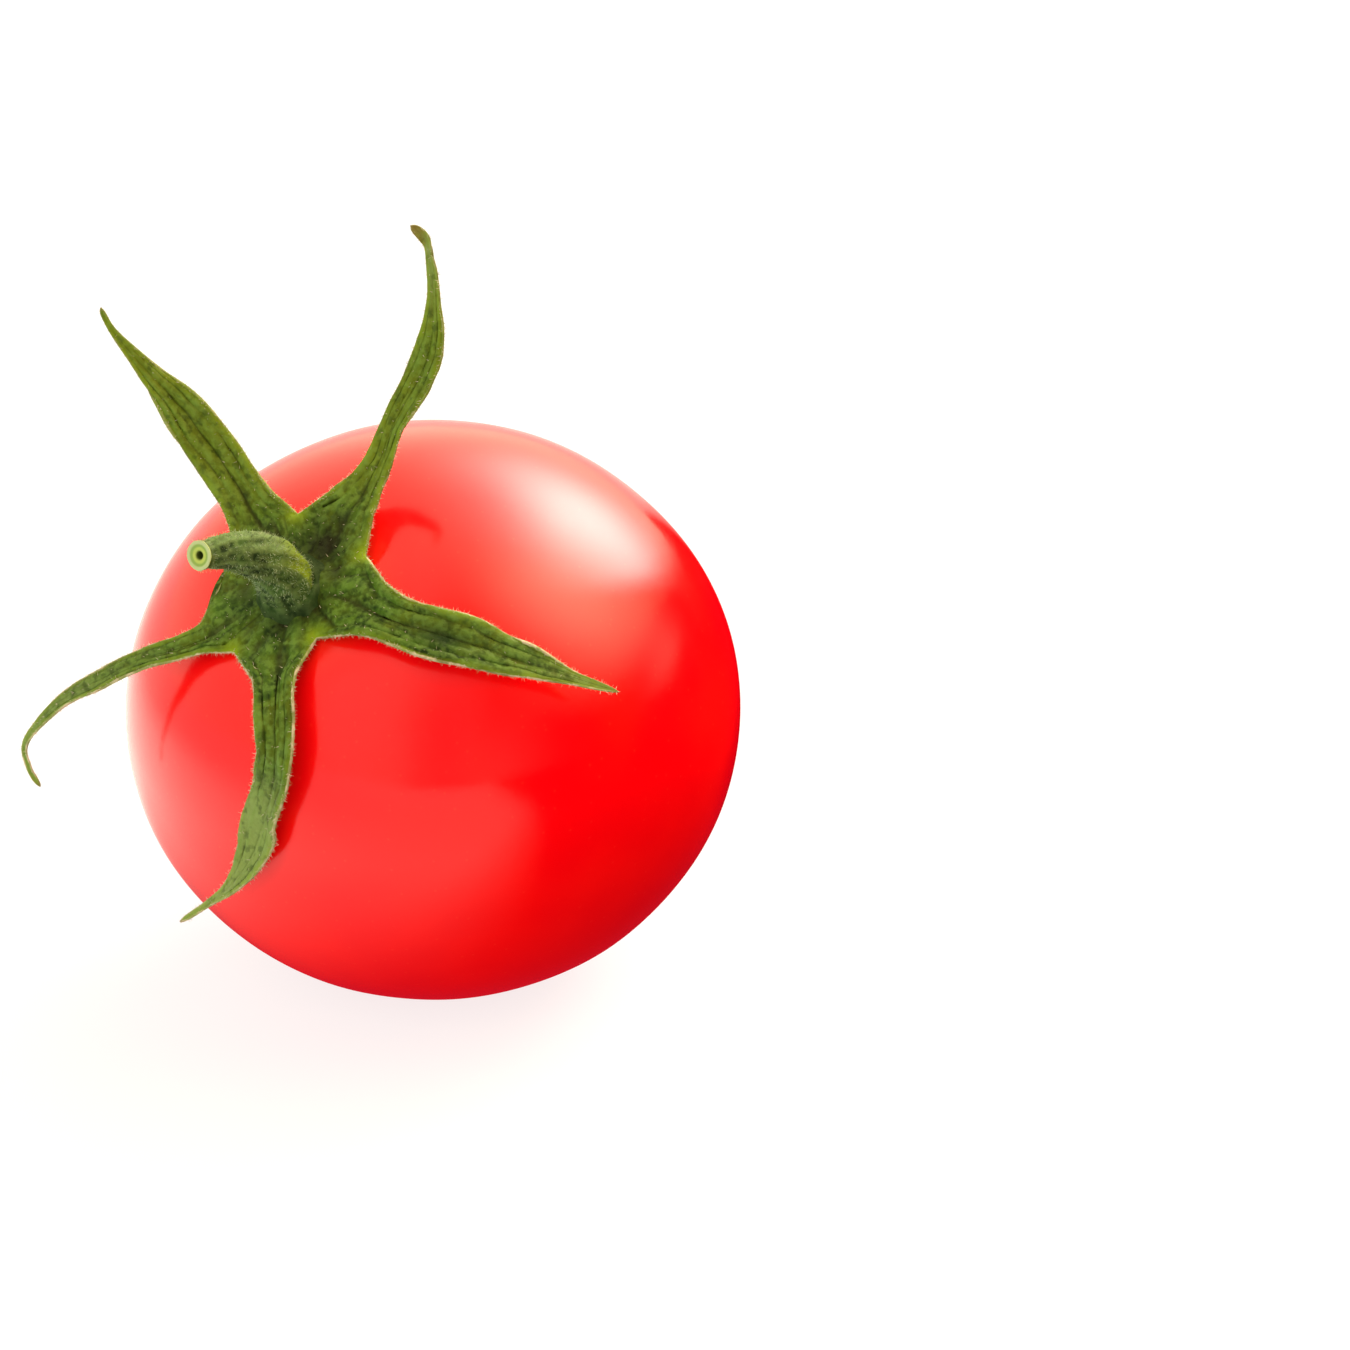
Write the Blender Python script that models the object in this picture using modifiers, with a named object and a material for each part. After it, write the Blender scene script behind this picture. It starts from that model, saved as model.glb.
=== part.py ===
"""A small vine tomato, as picked, lying a little tilted on its flat spot.

Three pieces: the fruit, the calyx (one star of five sepals joined at their feet) and the cut stem that stands
on the calyx. Lengths are in metres, +Z is up, and the origin is the middle of the flat spot that the fruit
rests on.
"""

import math

import bmesh
import bpy
from mathutils import Matrix, Vector

MM = 0.001
WELD = 0.001 * MM
SHARP_ANGLE = math.radians(35)

# The fruit as it lies: a soft ball, pressed a little flatter by its own weight.
FRUIT_WIDTH = 50.7 * MM
FRUIT_DEPTH = 50.0 * MM
FRUIT_HEIGHT = 47.4 * MM
FLAT_SPOT_DEPTH = 0.9 * MM
FRUIT_CENTRE = Vector((0, 0, FRUIT_HEIGHT / 2 - FLAT_SPOT_DEPTH))
FRUIT_AROUND = 56
FRUIT_ALONG = 36

# The stem axis leans to the front left. Tilt is from the vertical, and heading is measured from +X.
STEM_TILT = math.radians(43.5)
STEM_HEADING = math.radians(233.5)
STEM_AXIS = Vector((
    math.sin(STEM_TILT) * math.cos(STEM_HEADING),
    math.sin(STEM_TILT) * math.sin(STEM_HEADING),
    math.cos(STEM_TILT),
))
UPHILL = (Vector((0, 0, 1)) - STEM_AXIS * STEM_AXIS.z).normalized()
ACROSS = STEM_AXIS.cross(UPHILL)

# Relief of the skin: the dimple under the calyx, five soft shoulders round it, and the scar of the blossom.
DIMPLE_DEPTH = 1.3 * MM
DIMPLE_SPREAD = math.radians(15)
SHOULDERS = 5
SHOULDER_RELIEF = 0.12 * MM
SHOULDER_SPREAD = math.radians(34)
SCAR_DEPTH = 0.5 * MM
SCAR_SPREAD = math.radians(7)

# The calyx. Its gap to the skin and to the stem keeps the three solids apart.
GAP = 0.3 * MM
SEPAL_THICKNESS = 0.6 * MM
SEPAL_COLUMNS = 6
STATIONS_PER_SPAN = 3
# A blade's edges stand above its midrib by this share of its half width, so each sepal is a shallow channel.
SEPAL_CHANNEL = 0.22
# Reach and lift of the ring that ends the hub disc, and of one more ring before the sepals' feet.
HUB_LIFT = GAP + SEPAL_THICKNESS / 2
HUB_RINGS = ((3.1 * MM, HUB_LIFT), (4.7 * MM, 0.9 * MM))
NOTCH_LIFT = 0.8 * MM

# Each sepal is a midrib route from its foot to its tip. A waypoint is reach from the stem axis (mm), heading
# round that axis (degrees, 0 is uphill), lift above the dimple's floor (mm) and half width (mm).
SEPALS = {
    "upper_left": (
        (6.6, 58, 1.1, 2.5),
        (9.8, 57, 2.0, 2.0),
        (13.1, 56.5, 3.8, 2.0),
        (16.2, 56.5, 6.6, 1.75),
        (18.9, 57.5, 9.0, 1.2),
        (21.0, 58, 11.4, 0.75),
        (22.4, 58, 13.0, 0.5),
        (23.3, 57, 14.6, 0.3),
    ),
    "left": (
        (7.8, 143, 1.1, 1.7),
        (10.2, 139.5, 1.0, 1.15),
        (14.2, 134.5, 0.9, 1.0),
        (18.5, 133, 0.4, 0.9),
        (21.9, 131.5, -0.6, 0.75),
        (24.9, 131.5, -1.8, 0.55),
        (27.8, 132, -3.6, 0.4),
        (28.8, 134, -5.6, 0.35),
        (28.9, 136, -7.0, 0.3),
    ),
    "lower": (
        (7.0, 197, 1.0, 2.2),
        (10.1, 198, 0.5, 1.45),
        (12.9, 197.5, -0.8, 1.5),
        (15.5, 195.5, -2.6, 1.9),
        (18.1, 191.5, -4.6, 2.15),
        (20.5, 187.5, -6.6, 1.8),
        (22.7, 182, -8.6, 0.8),
        (24.5, 175.5, -10.4, 0.35),
        (26.7, 169.5, -12.0, 0.3),
    ),
    "right": (
        (6.4, 267, 1.0, 2.9),
        (9.6, 267, 0.6, 2.05),
        (12.4, 268.5, -0.8, 2.15),
        (15.0, 271, -2.2, 2.1),
        (17.5, 272, -3.6, 1.7),
        (20.0, 273, -5.0, 1.25),
        (22.5, 273.5, -6.4, 0.6),
        (25.8, 274.5, -8.4, 0.25),
    ),
    "upper_right": (
        (6.4, 346.5, 1.1, 2.7),
        (8.9, 348, 1.0, 2.0),
        (11.4, 348, 1.6, 1.35),
        (14.1, 349.5, 2.4, 1.25),
        (18.3, 348, 3.8, 1.6),
        (21.3, 348.5, 5.2, 1.25),
        (23.8, 350, 7.2, 0.65),
        (25.7, 351, 9.4, 0.5),
        (26.7, 351, 11.6, 0.4),
        (26.8, 352, 13.6, 0.35),
    ),
}
# Reach (mm) and heading (degrees) of the notch that follows each sepal, going round the star.
NOTCHES = ((6.7, 86), (7.5, 160.5), (5.7, 227), (6.0, 309.5), (6.3, 391))

# The stem's centreline: reach (mm), heading (degrees), lift above the foot (mm) and radius (mm).
STEM_FOOT_LIFT = HUB_LIFT + SEPAL_THICKNESS / 2 + GAP
STEM_ROUTE = (
    (0.8, 165, 0.0, 2.2),
    (0.75, 170, 1.0, 2.15),
    (0.5, 205, 2.2, 2.1),
    (0.6, 225, 4.2, 2.0),
    (0.9, 208, 6.1, 1.85),
    (1.4, 186, 7.7, 1.65),
    (2.1, 171, 9.0, 1.4),
    (3.1, 167, 10.2, 1.22),
    (3.9, 169, 11.4, 1.25),
)
STEM_SIDES = 16
PITH_RADIUS = 0.45 * MM
PITH_DEPTH = 0.8 * MM


def clear_scene():
    for thing in list(bpy.data.objects):
        bpy.data.objects.remove(thing)


def make_material(name, colour, roughness):
    material = bpy.data.materials.new(name)
    material.use_nodes = True
    shader = material.node_tree.nodes["Principled BSDF"]
    shader.inputs["Base Color"].default_value = (*colour, 1)
    shader.inputs["Roughness"].default_value = roughness
    shader.inputs["Metallic"].default_value = 0
    return material


def make_object(name, shape, material, collection):
    """Write the bmesh to a smooth-shaded mesh, in an object of its own."""
    mesh = bpy.data.meshes.new(name)
    shape.to_mesh(mesh)
    shape.free()
    mesh.shade_smooth()
    mesh.set_sharp_from_angle(angle=SHARP_ANGLE)
    mesh.materials.append(material)
    thing = bpy.data.objects.new(name, mesh)
    collection.objects.link(thing)
    return thing


def skin_radius(direction):
    """Distance from the fruit's centre to its skin along a unit direction."""
    x, y, z = direction
    ball = 1 / math.sqrt(
        (2 * x / FRUIT_WIDTH) ** 2 + (2 * y / FRUIT_DEPTH) ** 2 + (2 * z / FRUIT_HEIGHT) ** 2
    )
    from_stem = math.acos(max(-1, min(1, direction.dot(STEM_AXIS))))
    turn = math.atan2(direction.dot(ACROSS), direction.dot(UPHILL))
    spread = (from_stem / SHOULDER_SPREAD) ** 2
    shoulders = SHOULDER_RELIEF * math.cos(SHOULDERS * turn) * spread * math.exp(1 - spread)
    dimple = DIMPLE_DEPTH * math.exp(-((from_stem / DIMPLE_SPREAD) ** 2))
    scar = SCAR_DEPTH * math.exp(-(((math.pi - from_stem) / SCAR_SPREAD) ** 2))
    return ball + shoulders - dimple - scar


DIMPLE_FLOOR = FRUIT_CENTRE + STEM_AXIS * skin_radius(STEM_AXIS)


def calyx_place(reach, heading, lift):
    """A point in the calyx's own terms: away from the stem axis, round it, and up from the dimple's floor."""
    outward = UPHILL * math.cos(heading) + ACROSS * math.sin(heading)
    return DIMPLE_FLOOR + outward * reach + STEM_AXIS * lift


def above_skin(point):
    """The point, moved straight out where the sepal's underside would touch the skin."""
    spoke = point - FRUIT_CENTRE
    direction = spoke.normalized()
    least = skin_radius(direction) + GAP + SEPAL_THICKNESS / 2
    return FRUIT_CENTRE + direction * max(spoke.length, least)


def blend(start, end, share):
    return [a + (b - a) * share for a, b in zip(start, end)]


def smooth_route(waypoints, per_span):
    """Catmull-Rom samples through tuples of numbers, per_span to each stretch."""
    first = blend(waypoints[1], waypoints[0], 2)
    last = blend(waypoints[-2], waypoints[-1], 2)
    knots = [first, *waypoints, last]
    samples = []
    for stretch in zip(knots, knots[1:], knots[2:], knots[3:]):
        for step in range(per_span):
            t = step / per_span
            weights = (
                (-t + 2 * t**2 - t**3) / 2,
                (2 - 5 * t**2 + 3 * t**3) / 2,
                (t + 4 * t**2 - 3 * t**3) / 2,
                (-(t**2) + t**3) / 2,
            )
            samples.append([sum(w * v for w, v in zip(weights, values)) for values in zip(*stretch)])
    return [*samples, list(waypoints[-1])]


def make_fruit(material, collection):
    """A ball whose poles lie on the stem axis, shaped by the skin's formula and cut flat where it rests."""
    shape = bmesh.new()
    bmesh.ops.create_uvsphere(shape, u_segments=FRUIT_AROUND, v_segments=FRUIT_ALONG, radius=1)
    to_stem_axis = Matrix((UPHILL, ACROSS, STEM_AXIS)).transposed()
    for vertex in shape.verts:
        direction = (to_stem_axis @ vertex.co).normalized()
        vertex.co = FRUIT_CENTRE + direction * skin_radius(direction)
    cut = bmesh.ops.bisect_plane(
        shape,
        geom=[*shape.verts, *shape.edges, *shape.faces],
        dist=WELD,
        plane_co=(0, 0, 0),
        plane_no=(0, 0, -1),
        clear_outer=True,
    )
    rim = [part for part in cut["geom_cut"] if isinstance(part, bmesh.types.BMEdge)]
    bmesh.ops.contextual_create(shape, geom=rim)
    bmesh.ops.recalc_face_normals(shape, faces=shape.faces)
    return make_object("fruit", shape, material, collection)


def foot_rows(foot, notch_before, notch_after):
    """Rows of points from the hub's ring out to a sepal's two notches. Places are (reach, heading, lift)."""
    foot_reach, foot_heading, foot_lift = foot
    middles = [*HUB_RINGS, (foot_reach, foot_lift)]
    rows = []
    for row, (reach, lift) in enumerate(middles):
        middle = (reach, foot_heading, lift)
        edges = [(reach, notch[1], lift) for notch in (notch_before, notch_after)]
        if row == len(middles) - 1:
            edges = [(*notch, NOTCH_LIFT) for notch in (notch_before, notch_after)]
        places = []
        for column in range(SEPAL_COLUMNS + 1):
            side = 2 * column / SEPAL_COLUMNS - 1
            edge = edges[0] if side < 0 else edges[1]
            places.append(calyx_place(*blend(middle, edge, abs(side))))
        rows.append(places)
    return rows


def blade_rows(waypoints):
    """Rows of points across each station of a sepal's midrib, from just beyond its foot to its tip."""
    stations = smooth_route(waypoints, STATIONS_PER_SPAN)
    midrib = [calyx_place(reach * MM, math.radians(heading), lift * MM) for reach, heading, lift, _ in stations]
    rows = []
    for index in range(1, len(stations)):
        half_width = stations[index][3] * MM
        ahead = midrib[min(index + 1, len(midrib) - 1)]
        along = (ahead - midrib[index - 1]).normalized()
        side = STEM_AXIS.cross(along).normalized()
        face = along.cross(side)
        places = []
        for column in range(SEPAL_COLUMNS + 1):
            share = 2 * column / SEPAL_COLUMNS - 1
            rise = SEPAL_CHANNEL * half_width * share**2
            places.append(midrib[index] + side * half_width * share + face * rise)
        rows.append(places)
    return rows


def add_grid(sheet, rows):
    grid = [[sheet.verts.new(above_skin(place)) for place in places] for places in rows]
    for low, high in zip(grid, grid[1:]):
        for a, b, c, d in zip(low, low[1:], high[1:], high):
            sheet.faces.new((a, d, c, b))


def make_calyx(material, collection):
    """A hub disc and five sepals, joined along the line from the hub to each notch, and given thickness."""
    sheet = bmesh.new()
    notches = [(reach * MM, math.radians(heading)) for reach, heading in NOTCHES]
    last_reach, last_heading = notches[-1]
    before = (last_reach, last_heading - math.tau)
    for waypoints, after in zip(SEPALS.values(), notches):
        reach, heading, lift, _ = waypoints[0]
        foot = (reach * MM, math.radians(heading), lift * MM)
        add_grid(sheet, [*foot_rows(foot, before, after), *blade_rows(waypoints)])
        before = after
    bmesh.ops.remove_doubles(sheet, verts=sheet.verts, dist=WELD)
    hub = bmesh.ops.holes_fill(sheet, edges=sheet.edges, sides=len(SEPALS) * SEPAL_COLUMNS)["faces"]
    bmesh.ops.poke(sheet, faces=hub)
    bmesh.ops.recalc_face_normals(sheet, faces=sheet.faces)
    bmesh.ops.triangulate(sheet, faces=sheet.faces, quad_method="FIXED")
    calyx = make_object("calyx", sheet, material, collection)
    wall = calyx.modifiers.new("blade thickness", "SOLIDIFY")
    wall.thickness = SEPAL_THICKNESS
    wall.offset = 0
    return calyx


def stem_tube(collection):
    """An open bent tube along the stem's centreline, as a mesh."""
    line = bpy.data.curves.new("stem line", "CURVE")
    line.dimensions = "3D"
    line.bevel_depth = MM
    line.bevel_resolution = STEM_SIDES // 2 - 2
    stations = smooth_route(STEM_ROUTE, STATIONS_PER_SPAN)
    spline = line.splines.new("POLY")
    spline.points.add(len(stations) - 1)
    for point, (reach, heading, lift, radius) in zip(spline.points, stations):
        place = calyx_place(reach * MM, math.radians(heading), STEM_FOOT_LIFT + lift * MM)
        point.co = (*place, 1)
        point.radius = radius
    guide = bpy.data.objects.new("stem guide", line)
    collection.objects.link(guide)
    bpy.context.view_layer.update()
    mesh = bpy.data.meshes.new_from_object(guide.evaluated_get(bpy.context.evaluated_depsgraph_get()))
    bpy.data.objects.remove(guide)
    return mesh


def make_stem(material, collection):
    """The stem's tube, closed at its foot and at its cut end, where the pith is a small pit."""
    shape = bmesh.new()
    shape.from_mesh(stem_tube(collection))
    ends = bmesh.ops.holes_fill(shape, edges=shape.edges, sides=STEM_SIDES)["faces"]
    bmesh.ops.recalc_face_normals(shape, faces=shape.faces)
    cut_end = max(ends, key=lambda face: (face.calc_center_median() - DIMPLE_FLOOR).length)
    rim_radius = STEM_ROUTE[-1][3] * MM
    bmesh.ops.inset_individual(shape, faces=[cut_end], thickness=rim_radius - PITH_RADIUS)
    bmesh.ops.inset_individual(shape, faces=[cut_end], thickness=0)
    bmesh.ops.translate(shape, verts=cut_end.verts, vec=cut_end.normal * -PITH_DEPTH)
    return make_object("stem", shape, material, collection)


def main():
    clear_scene()
    collection = bpy.data.collections.new("tomato")
    bpy.context.scene.collection.children.link(collection)
    make_fruit(make_material("tomato_skin", (0.80, 0.02, 0.012), 0.2), collection)
    make_calyx(make_material("sepal_green", (0.10, 0.20, 0.035), 0.65), collection)
    make_stem(make_material("stem_green", (0.14, 0.24, 0.06), 0.7), collection)


main()
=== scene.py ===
# %% [markdown]
# # A small vine tomato, as picked
# This lesson dresses a plain CAD tomato so that it looks like the real thing: a glossy red fruit lying
# tilted on its flat spot, a star of five hairy green sepals on it, and a cut stub of stem. The CAD model is
# the fixed frame. Every finished piece sits where its solid is, and all of them move with the one body,
# "root".

import math

import bmesh
import bpy
from mathutils import Matrix, Vector, noise


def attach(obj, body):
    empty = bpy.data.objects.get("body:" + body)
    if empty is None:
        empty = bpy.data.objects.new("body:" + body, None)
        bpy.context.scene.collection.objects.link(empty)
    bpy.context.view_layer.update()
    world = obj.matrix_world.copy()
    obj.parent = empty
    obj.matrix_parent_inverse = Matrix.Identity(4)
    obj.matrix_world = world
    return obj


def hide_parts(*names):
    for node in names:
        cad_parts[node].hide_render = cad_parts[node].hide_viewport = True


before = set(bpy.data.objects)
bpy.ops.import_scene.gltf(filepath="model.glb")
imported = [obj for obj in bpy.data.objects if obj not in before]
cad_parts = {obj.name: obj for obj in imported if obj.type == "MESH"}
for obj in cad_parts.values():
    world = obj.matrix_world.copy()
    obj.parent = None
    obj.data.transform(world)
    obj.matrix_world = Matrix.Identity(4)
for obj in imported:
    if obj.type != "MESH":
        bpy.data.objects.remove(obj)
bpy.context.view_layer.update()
MM = 0.001

# %% [markdown]
# ## Small helpers for node trees
# Geometry nodes and shader nodes are wired in the same way: make a node, set its properties, and give each
# input a value or another node's output. One helper does that, and a few short ones name the sums that come
# up often, so that the cells below read like formulas.

# %% Helpers for nodes
def give(tree, made, inputs):
    """Gives inputs of a node, by number or by name, a value each or another node's socket."""
    for key, value in inputs.items():
        if isinstance(value, bpy.types.NodeSocket):
            tree.links.new(value, made.inputs[key])
        elif value is not None:
            made.inputs[key].default_value = value


def node(tree, kind, *values, named=None, **properties):
    """A new node. Inputs are given in order, or by name in named."""
    made = tree.nodes.new(kind)
    for name, value in properties.items():
        setattr(made, name, value)
    give(tree, made, {**dict(enumerate(values)), **(named or {})})
    return made


def maths(tree, operation, *values, clamp=False):
    return node(tree, "ShaderNodeMath", *values, operation=operation, use_clamp=clamp).outputs[0]


def times(tree, product, *others):
    """The product of numbers or sockets."""
    for other in others:
        product = maths(tree, "MULTIPLY", product, other)
    return product


def vectors(tree, operation, *values):
    return node(tree, "ShaderNodeVectorMath", *values, operation=operation).outputs[0]


def measured(tree, operation, *values):
    """A number taken from vectors, such as a length."""
    return node(tree, "ShaderNodeVectorMath", *values, operation=operation).outputs["Value"]


def dot(tree, one, other):
    return measured(tree, "DOT_PRODUCT", one, other)


def scaled(tree, vector, by):
    return node(tree, "ShaderNodeVectorMath", named={0: vector, "Scale": by}, operation="SCALE").outputs[0]


print("nodes can be made and wired")

# %% [markdown]
# Masks and colours need a few more: a soft hump, a soft step, a soft edge in space, a mix of two colours, and
# coats of paint.

# %% Helpers for masks and colours
def bell(tree, value, spread):
    """exp(-(value / spread)^2): one at zero, fading within about the spread."""
    share = maths(tree, "DIVIDE", value, spread)
    return maths(tree, "EXPONENT", times(tree, share, share, -1.0))


def fade(tree, value, start, end, low=0.0, high=1.0):
    """A smooth step from low to high as value goes from start to end."""
    step = node(tree, "ShaderNodeMapRange", value, start, end, low, high, interpolation_type="SMOOTHSTEP")
    return step.outputs[0]


def edged(tree, vector, edge):
    """One on the lit side of an edge, nought on its dark side. An edge is a direction, a start and an end."""
    direction, start, full = edge
    return fade(tree, dot(tree, vector, direction), start, full)


def mixed(tree, share, one, other):
    """Two colours mixed by share."""
    inputs = {0: share}
    for key, colour in ((6, one), (7, other)):
        inputs[key] = colour if isinstance(colour, bpy.types.NodeSocket) else (*colour, 1)
    return node(tree, "ShaderNodeMix", named=inputs, data_type="RGBA", clamp_factor=True).outputs[2]


def painted(tree, colour, coats):
    """A colour under coats of paint, each given as its share and its own colour."""
    for share, paint in coats:
        colour = mixed(tree, share, colour, paint)
    return colour


print("masks and colours can be mixed")

# %% [markdown]
# A group is a tree with named inputs and outputs. A tree that makes a shape is a group that puts out
# geometry.

# %% Helpers for groups
def numbers(sizes):
    """The inputs of a group that takes each size by its name."""
    return [(name, "NodeSocketFloat", value) for name, value in sizes.items()]


def new_group(name, kind, inputs, outputs):
    """A node group with named inputs, given as name, type and default, and named outputs."""
    tree = bpy.data.node_groups.new(name, kind)
    for label, socket_type, default in inputs:
        socket = tree.interface.new_socket(label, in_out="INPUT", socket_type=socket_type)
        if default is not None:
            socket.default_value = default
    for label, socket_type in outputs:
        tree.interface.new_socket(label, in_out="OUTPUT", socket_type=socket_type)
    return tree, tree.nodes.new("NodeGroupInput").outputs, tree.nodes.new("NodeGroupOutput")


def finished(tree, geometry, material):
    """Real mesh with its material, which is how a tree ends that makes a piece."""
    real = node(tree, "GeometryNodeRealizeInstances", geometry).outputs[0]
    return node(tree, "GeometryNodeSetMaterial", named={"Geometry": real, "Material": material}).outputs[0]


def new_shape_tree(name, inputs):
    tree, given, result = new_group(name, "GeometryNodeTree", inputs, [("Geometry", "NodeSocketGeometry")])
    tree.is_modifier = True
    return tree, given, result


print("groups can be made")

# %% [markdown]
# A few sums come up in mesh code too, so they get the same short names as in the node trees where they can.

# %% Helpers for numbers
def lerp(one, other, share):
    return one + (other - one) * share


def ease(value, start, end):
    """A smooth step from nought to one as value goes from start to end."""
    share = max(0.0, min(1.0, (value - start) / (end - start)))
    return share * share * (3 - 2 * share)


def hump(value, spread):
    """exp(-(value / spread)^2), like bell in the node trees."""
    return math.exp(-((value / spread) ** 2))


print(f"half way up a hump: {hump(0.83, 1.0):.2f}")

# %% [markdown]
# Two more steps come up for most pieces: putting an object into the scene, and turning worked geometry into a
# mesh that an object can show.

# %% Helpers for objects
def linked(name, data):
    """A new object in the scene."""
    thing = bpy.data.objects.new(name, data)
    bpy.context.scene.collection.objects.link(thing)
    return thing


def mesh_of(shape, name):
    mesh = bpy.data.meshes.new(name)
    shape.to_mesh(mesh)
    shape.free()
    return mesh


print("objects and meshes can be made")

# %% [markdown]
# ## The camera
# The photograph looks straight at the fruit's front from 25 degrees above the table, with a long lens. One
# millimetre at the fruit is 12.1 of the photograph's 1350 pixels, and the fruit's centre lies left of and
# below the picture's middle. The camera aims beside the fruit by that much, so that it needs no lens shift.

# %% Camera
PHOTO_SIDE = 1350
PIXELS_PER_MM = 12.1
CENTRE_PIXEL = (434, 709)
CAMERA_DISTANCE = 420 * MM
CAMERA_HEIGHT_ANGLE = math.radians(25)
SENSOR = 36

FRUIT_WIDTH = 50.7 * MM
FRUIT_DEPTH = 50.0 * MM
FRUIT_HEIGHT = 47.4 * MM
FLAT_SPOT_DEPTH = 0.9 * MM
FRUIT_CENTRE = Vector((0, 0, FRUIT_HEIGHT / 2 - FLAT_SPOT_DEPTH))

view_right = Vector((1, 0, 0))
view_up = Vector((0, math.sin(CAMERA_HEIGHT_ANGLE), math.cos(CAMERA_HEIGHT_ANGLE)))
view_back = view_right.cross(view_up)


def photo_offset(x, y):
    """From the fruit's centre to a pixel of the photograph, in the plane that faces the camera."""
    return (view_right * (x - CENTRE_PIXEL[0]) + view_up * (CENTRE_PIXEL[1] - y)) * MM / PIXELS_PER_MM


camera_data = bpy.data.cameras.new("camera")
camera_data.sensor_width = SENSOR
camera_data.lens = PIXELS_PER_MM / MM * CAMERA_DISTANCE / PHOTO_SIDE * SENSOR
camera_data.clip_start = 0.01
camera = linked("camera", camera_data)
camera.matrix_world = Matrix.LocRotScale(
    FRUIT_CENTRE + photo_offset(PHOTO_SIDE / 2, PHOTO_SIDE / 2) + view_back * CAMERA_DISTANCE,
    Matrix((view_right, view_up, view_back)).transposed().to_quaternion(),
    None,
)
bpy.context.scene.camera = camera
bpy.context.scene.view_settings.view_transform = "Standard"
print(f"lens {camera_data.lens:.1f} mm at {CAMERA_DISTANCE / MM:.0f} mm")

# %% [markdown]
# ## The studio
# A glossy skin is a mirror ball: each place on it shows the light that comes from one direction. Reading
# the photograph that way gives a pale room on the left, a large soft window behind on the right with a
# straight lower edge, fainter lights round about, and a dark red corner low on the right. The room and each
# light are painted on the world: a light is a soft lobe with a direction, a spread and a colour, and an
# edge cuts it off. The camera itself sees plain white behind the floor.

# %% World light
def towards(heading, height):
    """A unit direction. Heading is in degrees from straight behind the fruit, turning to the right."""
    heading, height = math.radians(heading), math.radians(height)
    level = math.cos(height)
    return Vector((math.sin(heading) * level, math.cos(heading) * level, math.sin(height)))


CORNER_COLOUR = (0.52, 0.006, 0.008)
ROOM_COLOUR = (0.75, 0.67, 0.52)
# Each edge is a plane through the fruit: its direction, and where the light behind it starts and is full.
ROOM_EDGE = ((-1.0, 0.10, 0.10), -0.22, 0.28)
BACK_EDGE = ((-0.598, 0.142, 1.0), -0.193, -0.083)
WINDOW_EDGE = ((-0.20, 0.827, 1.0), 0.605, 0.760)
SIDE_EDGE = ((0.0, 0.0, 1.0), 0.20, 0.40)
LOW_EDGE = ((0.0, 0.0, 1.0), 0.05, 0.15)
TABLE_EDGE = ((0.0, 0.0, 1.0), -0.10, -0.05)
# Each soft light: its heading, height and spread in degrees, its colour and its edge.
GLOWS = (
    (41.5, 36, 14.3, (12.2, 11.6, 10.8), WINDOW_EDGE),
    (45, 41, 27, (0.9, 0.55, 0.15), BACK_EDGE),
    (84, 47, 17, (4.8, 4.2, 2.7), SIDE_EDGE),
    (73, 9, 9, (1.1, 0.92, 0.64), LOW_EDGE),
    (14, 7, 19, (1.3, 1.10, 0.80), BACK_EDGE),
    (-60, 12, 42, (0.55, 0.45, 0.33), BACK_EDGE),
    (157, 5, 12, (0.5, 0.36, 0.30), TABLE_EDGE),
    (0, 90, 32, (0.28, 0.25, 0.16), BACK_EDGE),
)

world = bpy.data.worlds.new("studio")
world.use_nodes = True
bpy.context.scene.world = world
sky = world.node_tree
sky.nodes.clear()
look = node(sky, "ShaderNodeTexCoord").outputs["Generated"]
light = mixed(sky, edged(sky, look, ROOM_EDGE), CORNER_COLOUR, ROOM_COLOUR)
for heading, height, spread, colour, edge in GLOWS:
    nearness = maths(sky, "SUBTRACT", dot(sky, look, towards(heading, height)), 1.0)
    share = maths(sky, "EXPONENT", maths(sky, "DIVIDE", nearness, math.radians(spread) ** 2))
    share = times(sky, share, edged(sky, look, edge))
    light = vectors(sky, "ADD", light, scaled(sky, colour, share))
lamp = node(sky, "ShaderNodeBackground", light)
paper = node(sky, "ShaderNodeBackground", (1, 1, 1, 1))
seen = node(sky, "ShaderNodeLightPath").outputs["Is Camera Ray"]
surroundings = node(sky, "ShaderNodeMixShader", seen, lamp.outputs[0], paper.outputs[0])
node(sky, "ShaderNodeOutputWorld", surroundings.outputs[0])
print("studio: a pale room and", len(GLOWS), "soft lights")

# %% [markdown]
# One real lamp, a large soft panel beside the camera, lights the front of the leaves and gives the skin its
# colour. It stays out of reflections, because the skin would show it as a square.

# %% Fill light
FILL_PLACE = Vector((-0.10, -0.45, 0.22))
FILL_SIDE = 0.5
FILL_POWER = 1.6
fill_data = bpy.data.lights.new("fill", "AREA")
fill_data.size = FILL_SIDE
fill_data.energy = FILL_POWER
fill = linked("fill", fill_data)
fill.location = FILL_PLACE
fill.rotation_euler = (FILL_PLACE - FRUIT_CENTRE).to_track_quat("Z", "Y").to_euler()
fill.visible_glossy = False
print(f"fill panel {FILL_SIDE:.1f} m across")

# %% [markdown]
# ## Materials and objects
# Every finish starts from the same three things: a material, its main shader, and the place of each point on
# the object, which the patterns go by. A piece is then an object whose mesh has that material and no other.

# %% New materials and objects
def new_material(name):
    """A material, its tree, its Principled shader, and the place of each point on the object."""
    material = bpy.data.materials.new(name)
    material.use_nodes = True
    tree = material.node_tree
    place = node(tree, "ShaderNodeTexCoord").outputs["Object"]
    return material, tree, tree.nodes["Principled BSDF"], place


def new_object(name, mesh, *materials):
    mesh.materials.clear()
    for material in materials:
        mesh.materials.append(material)
    return linked(name, mesh)


print("materials and objects can be made")

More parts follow.
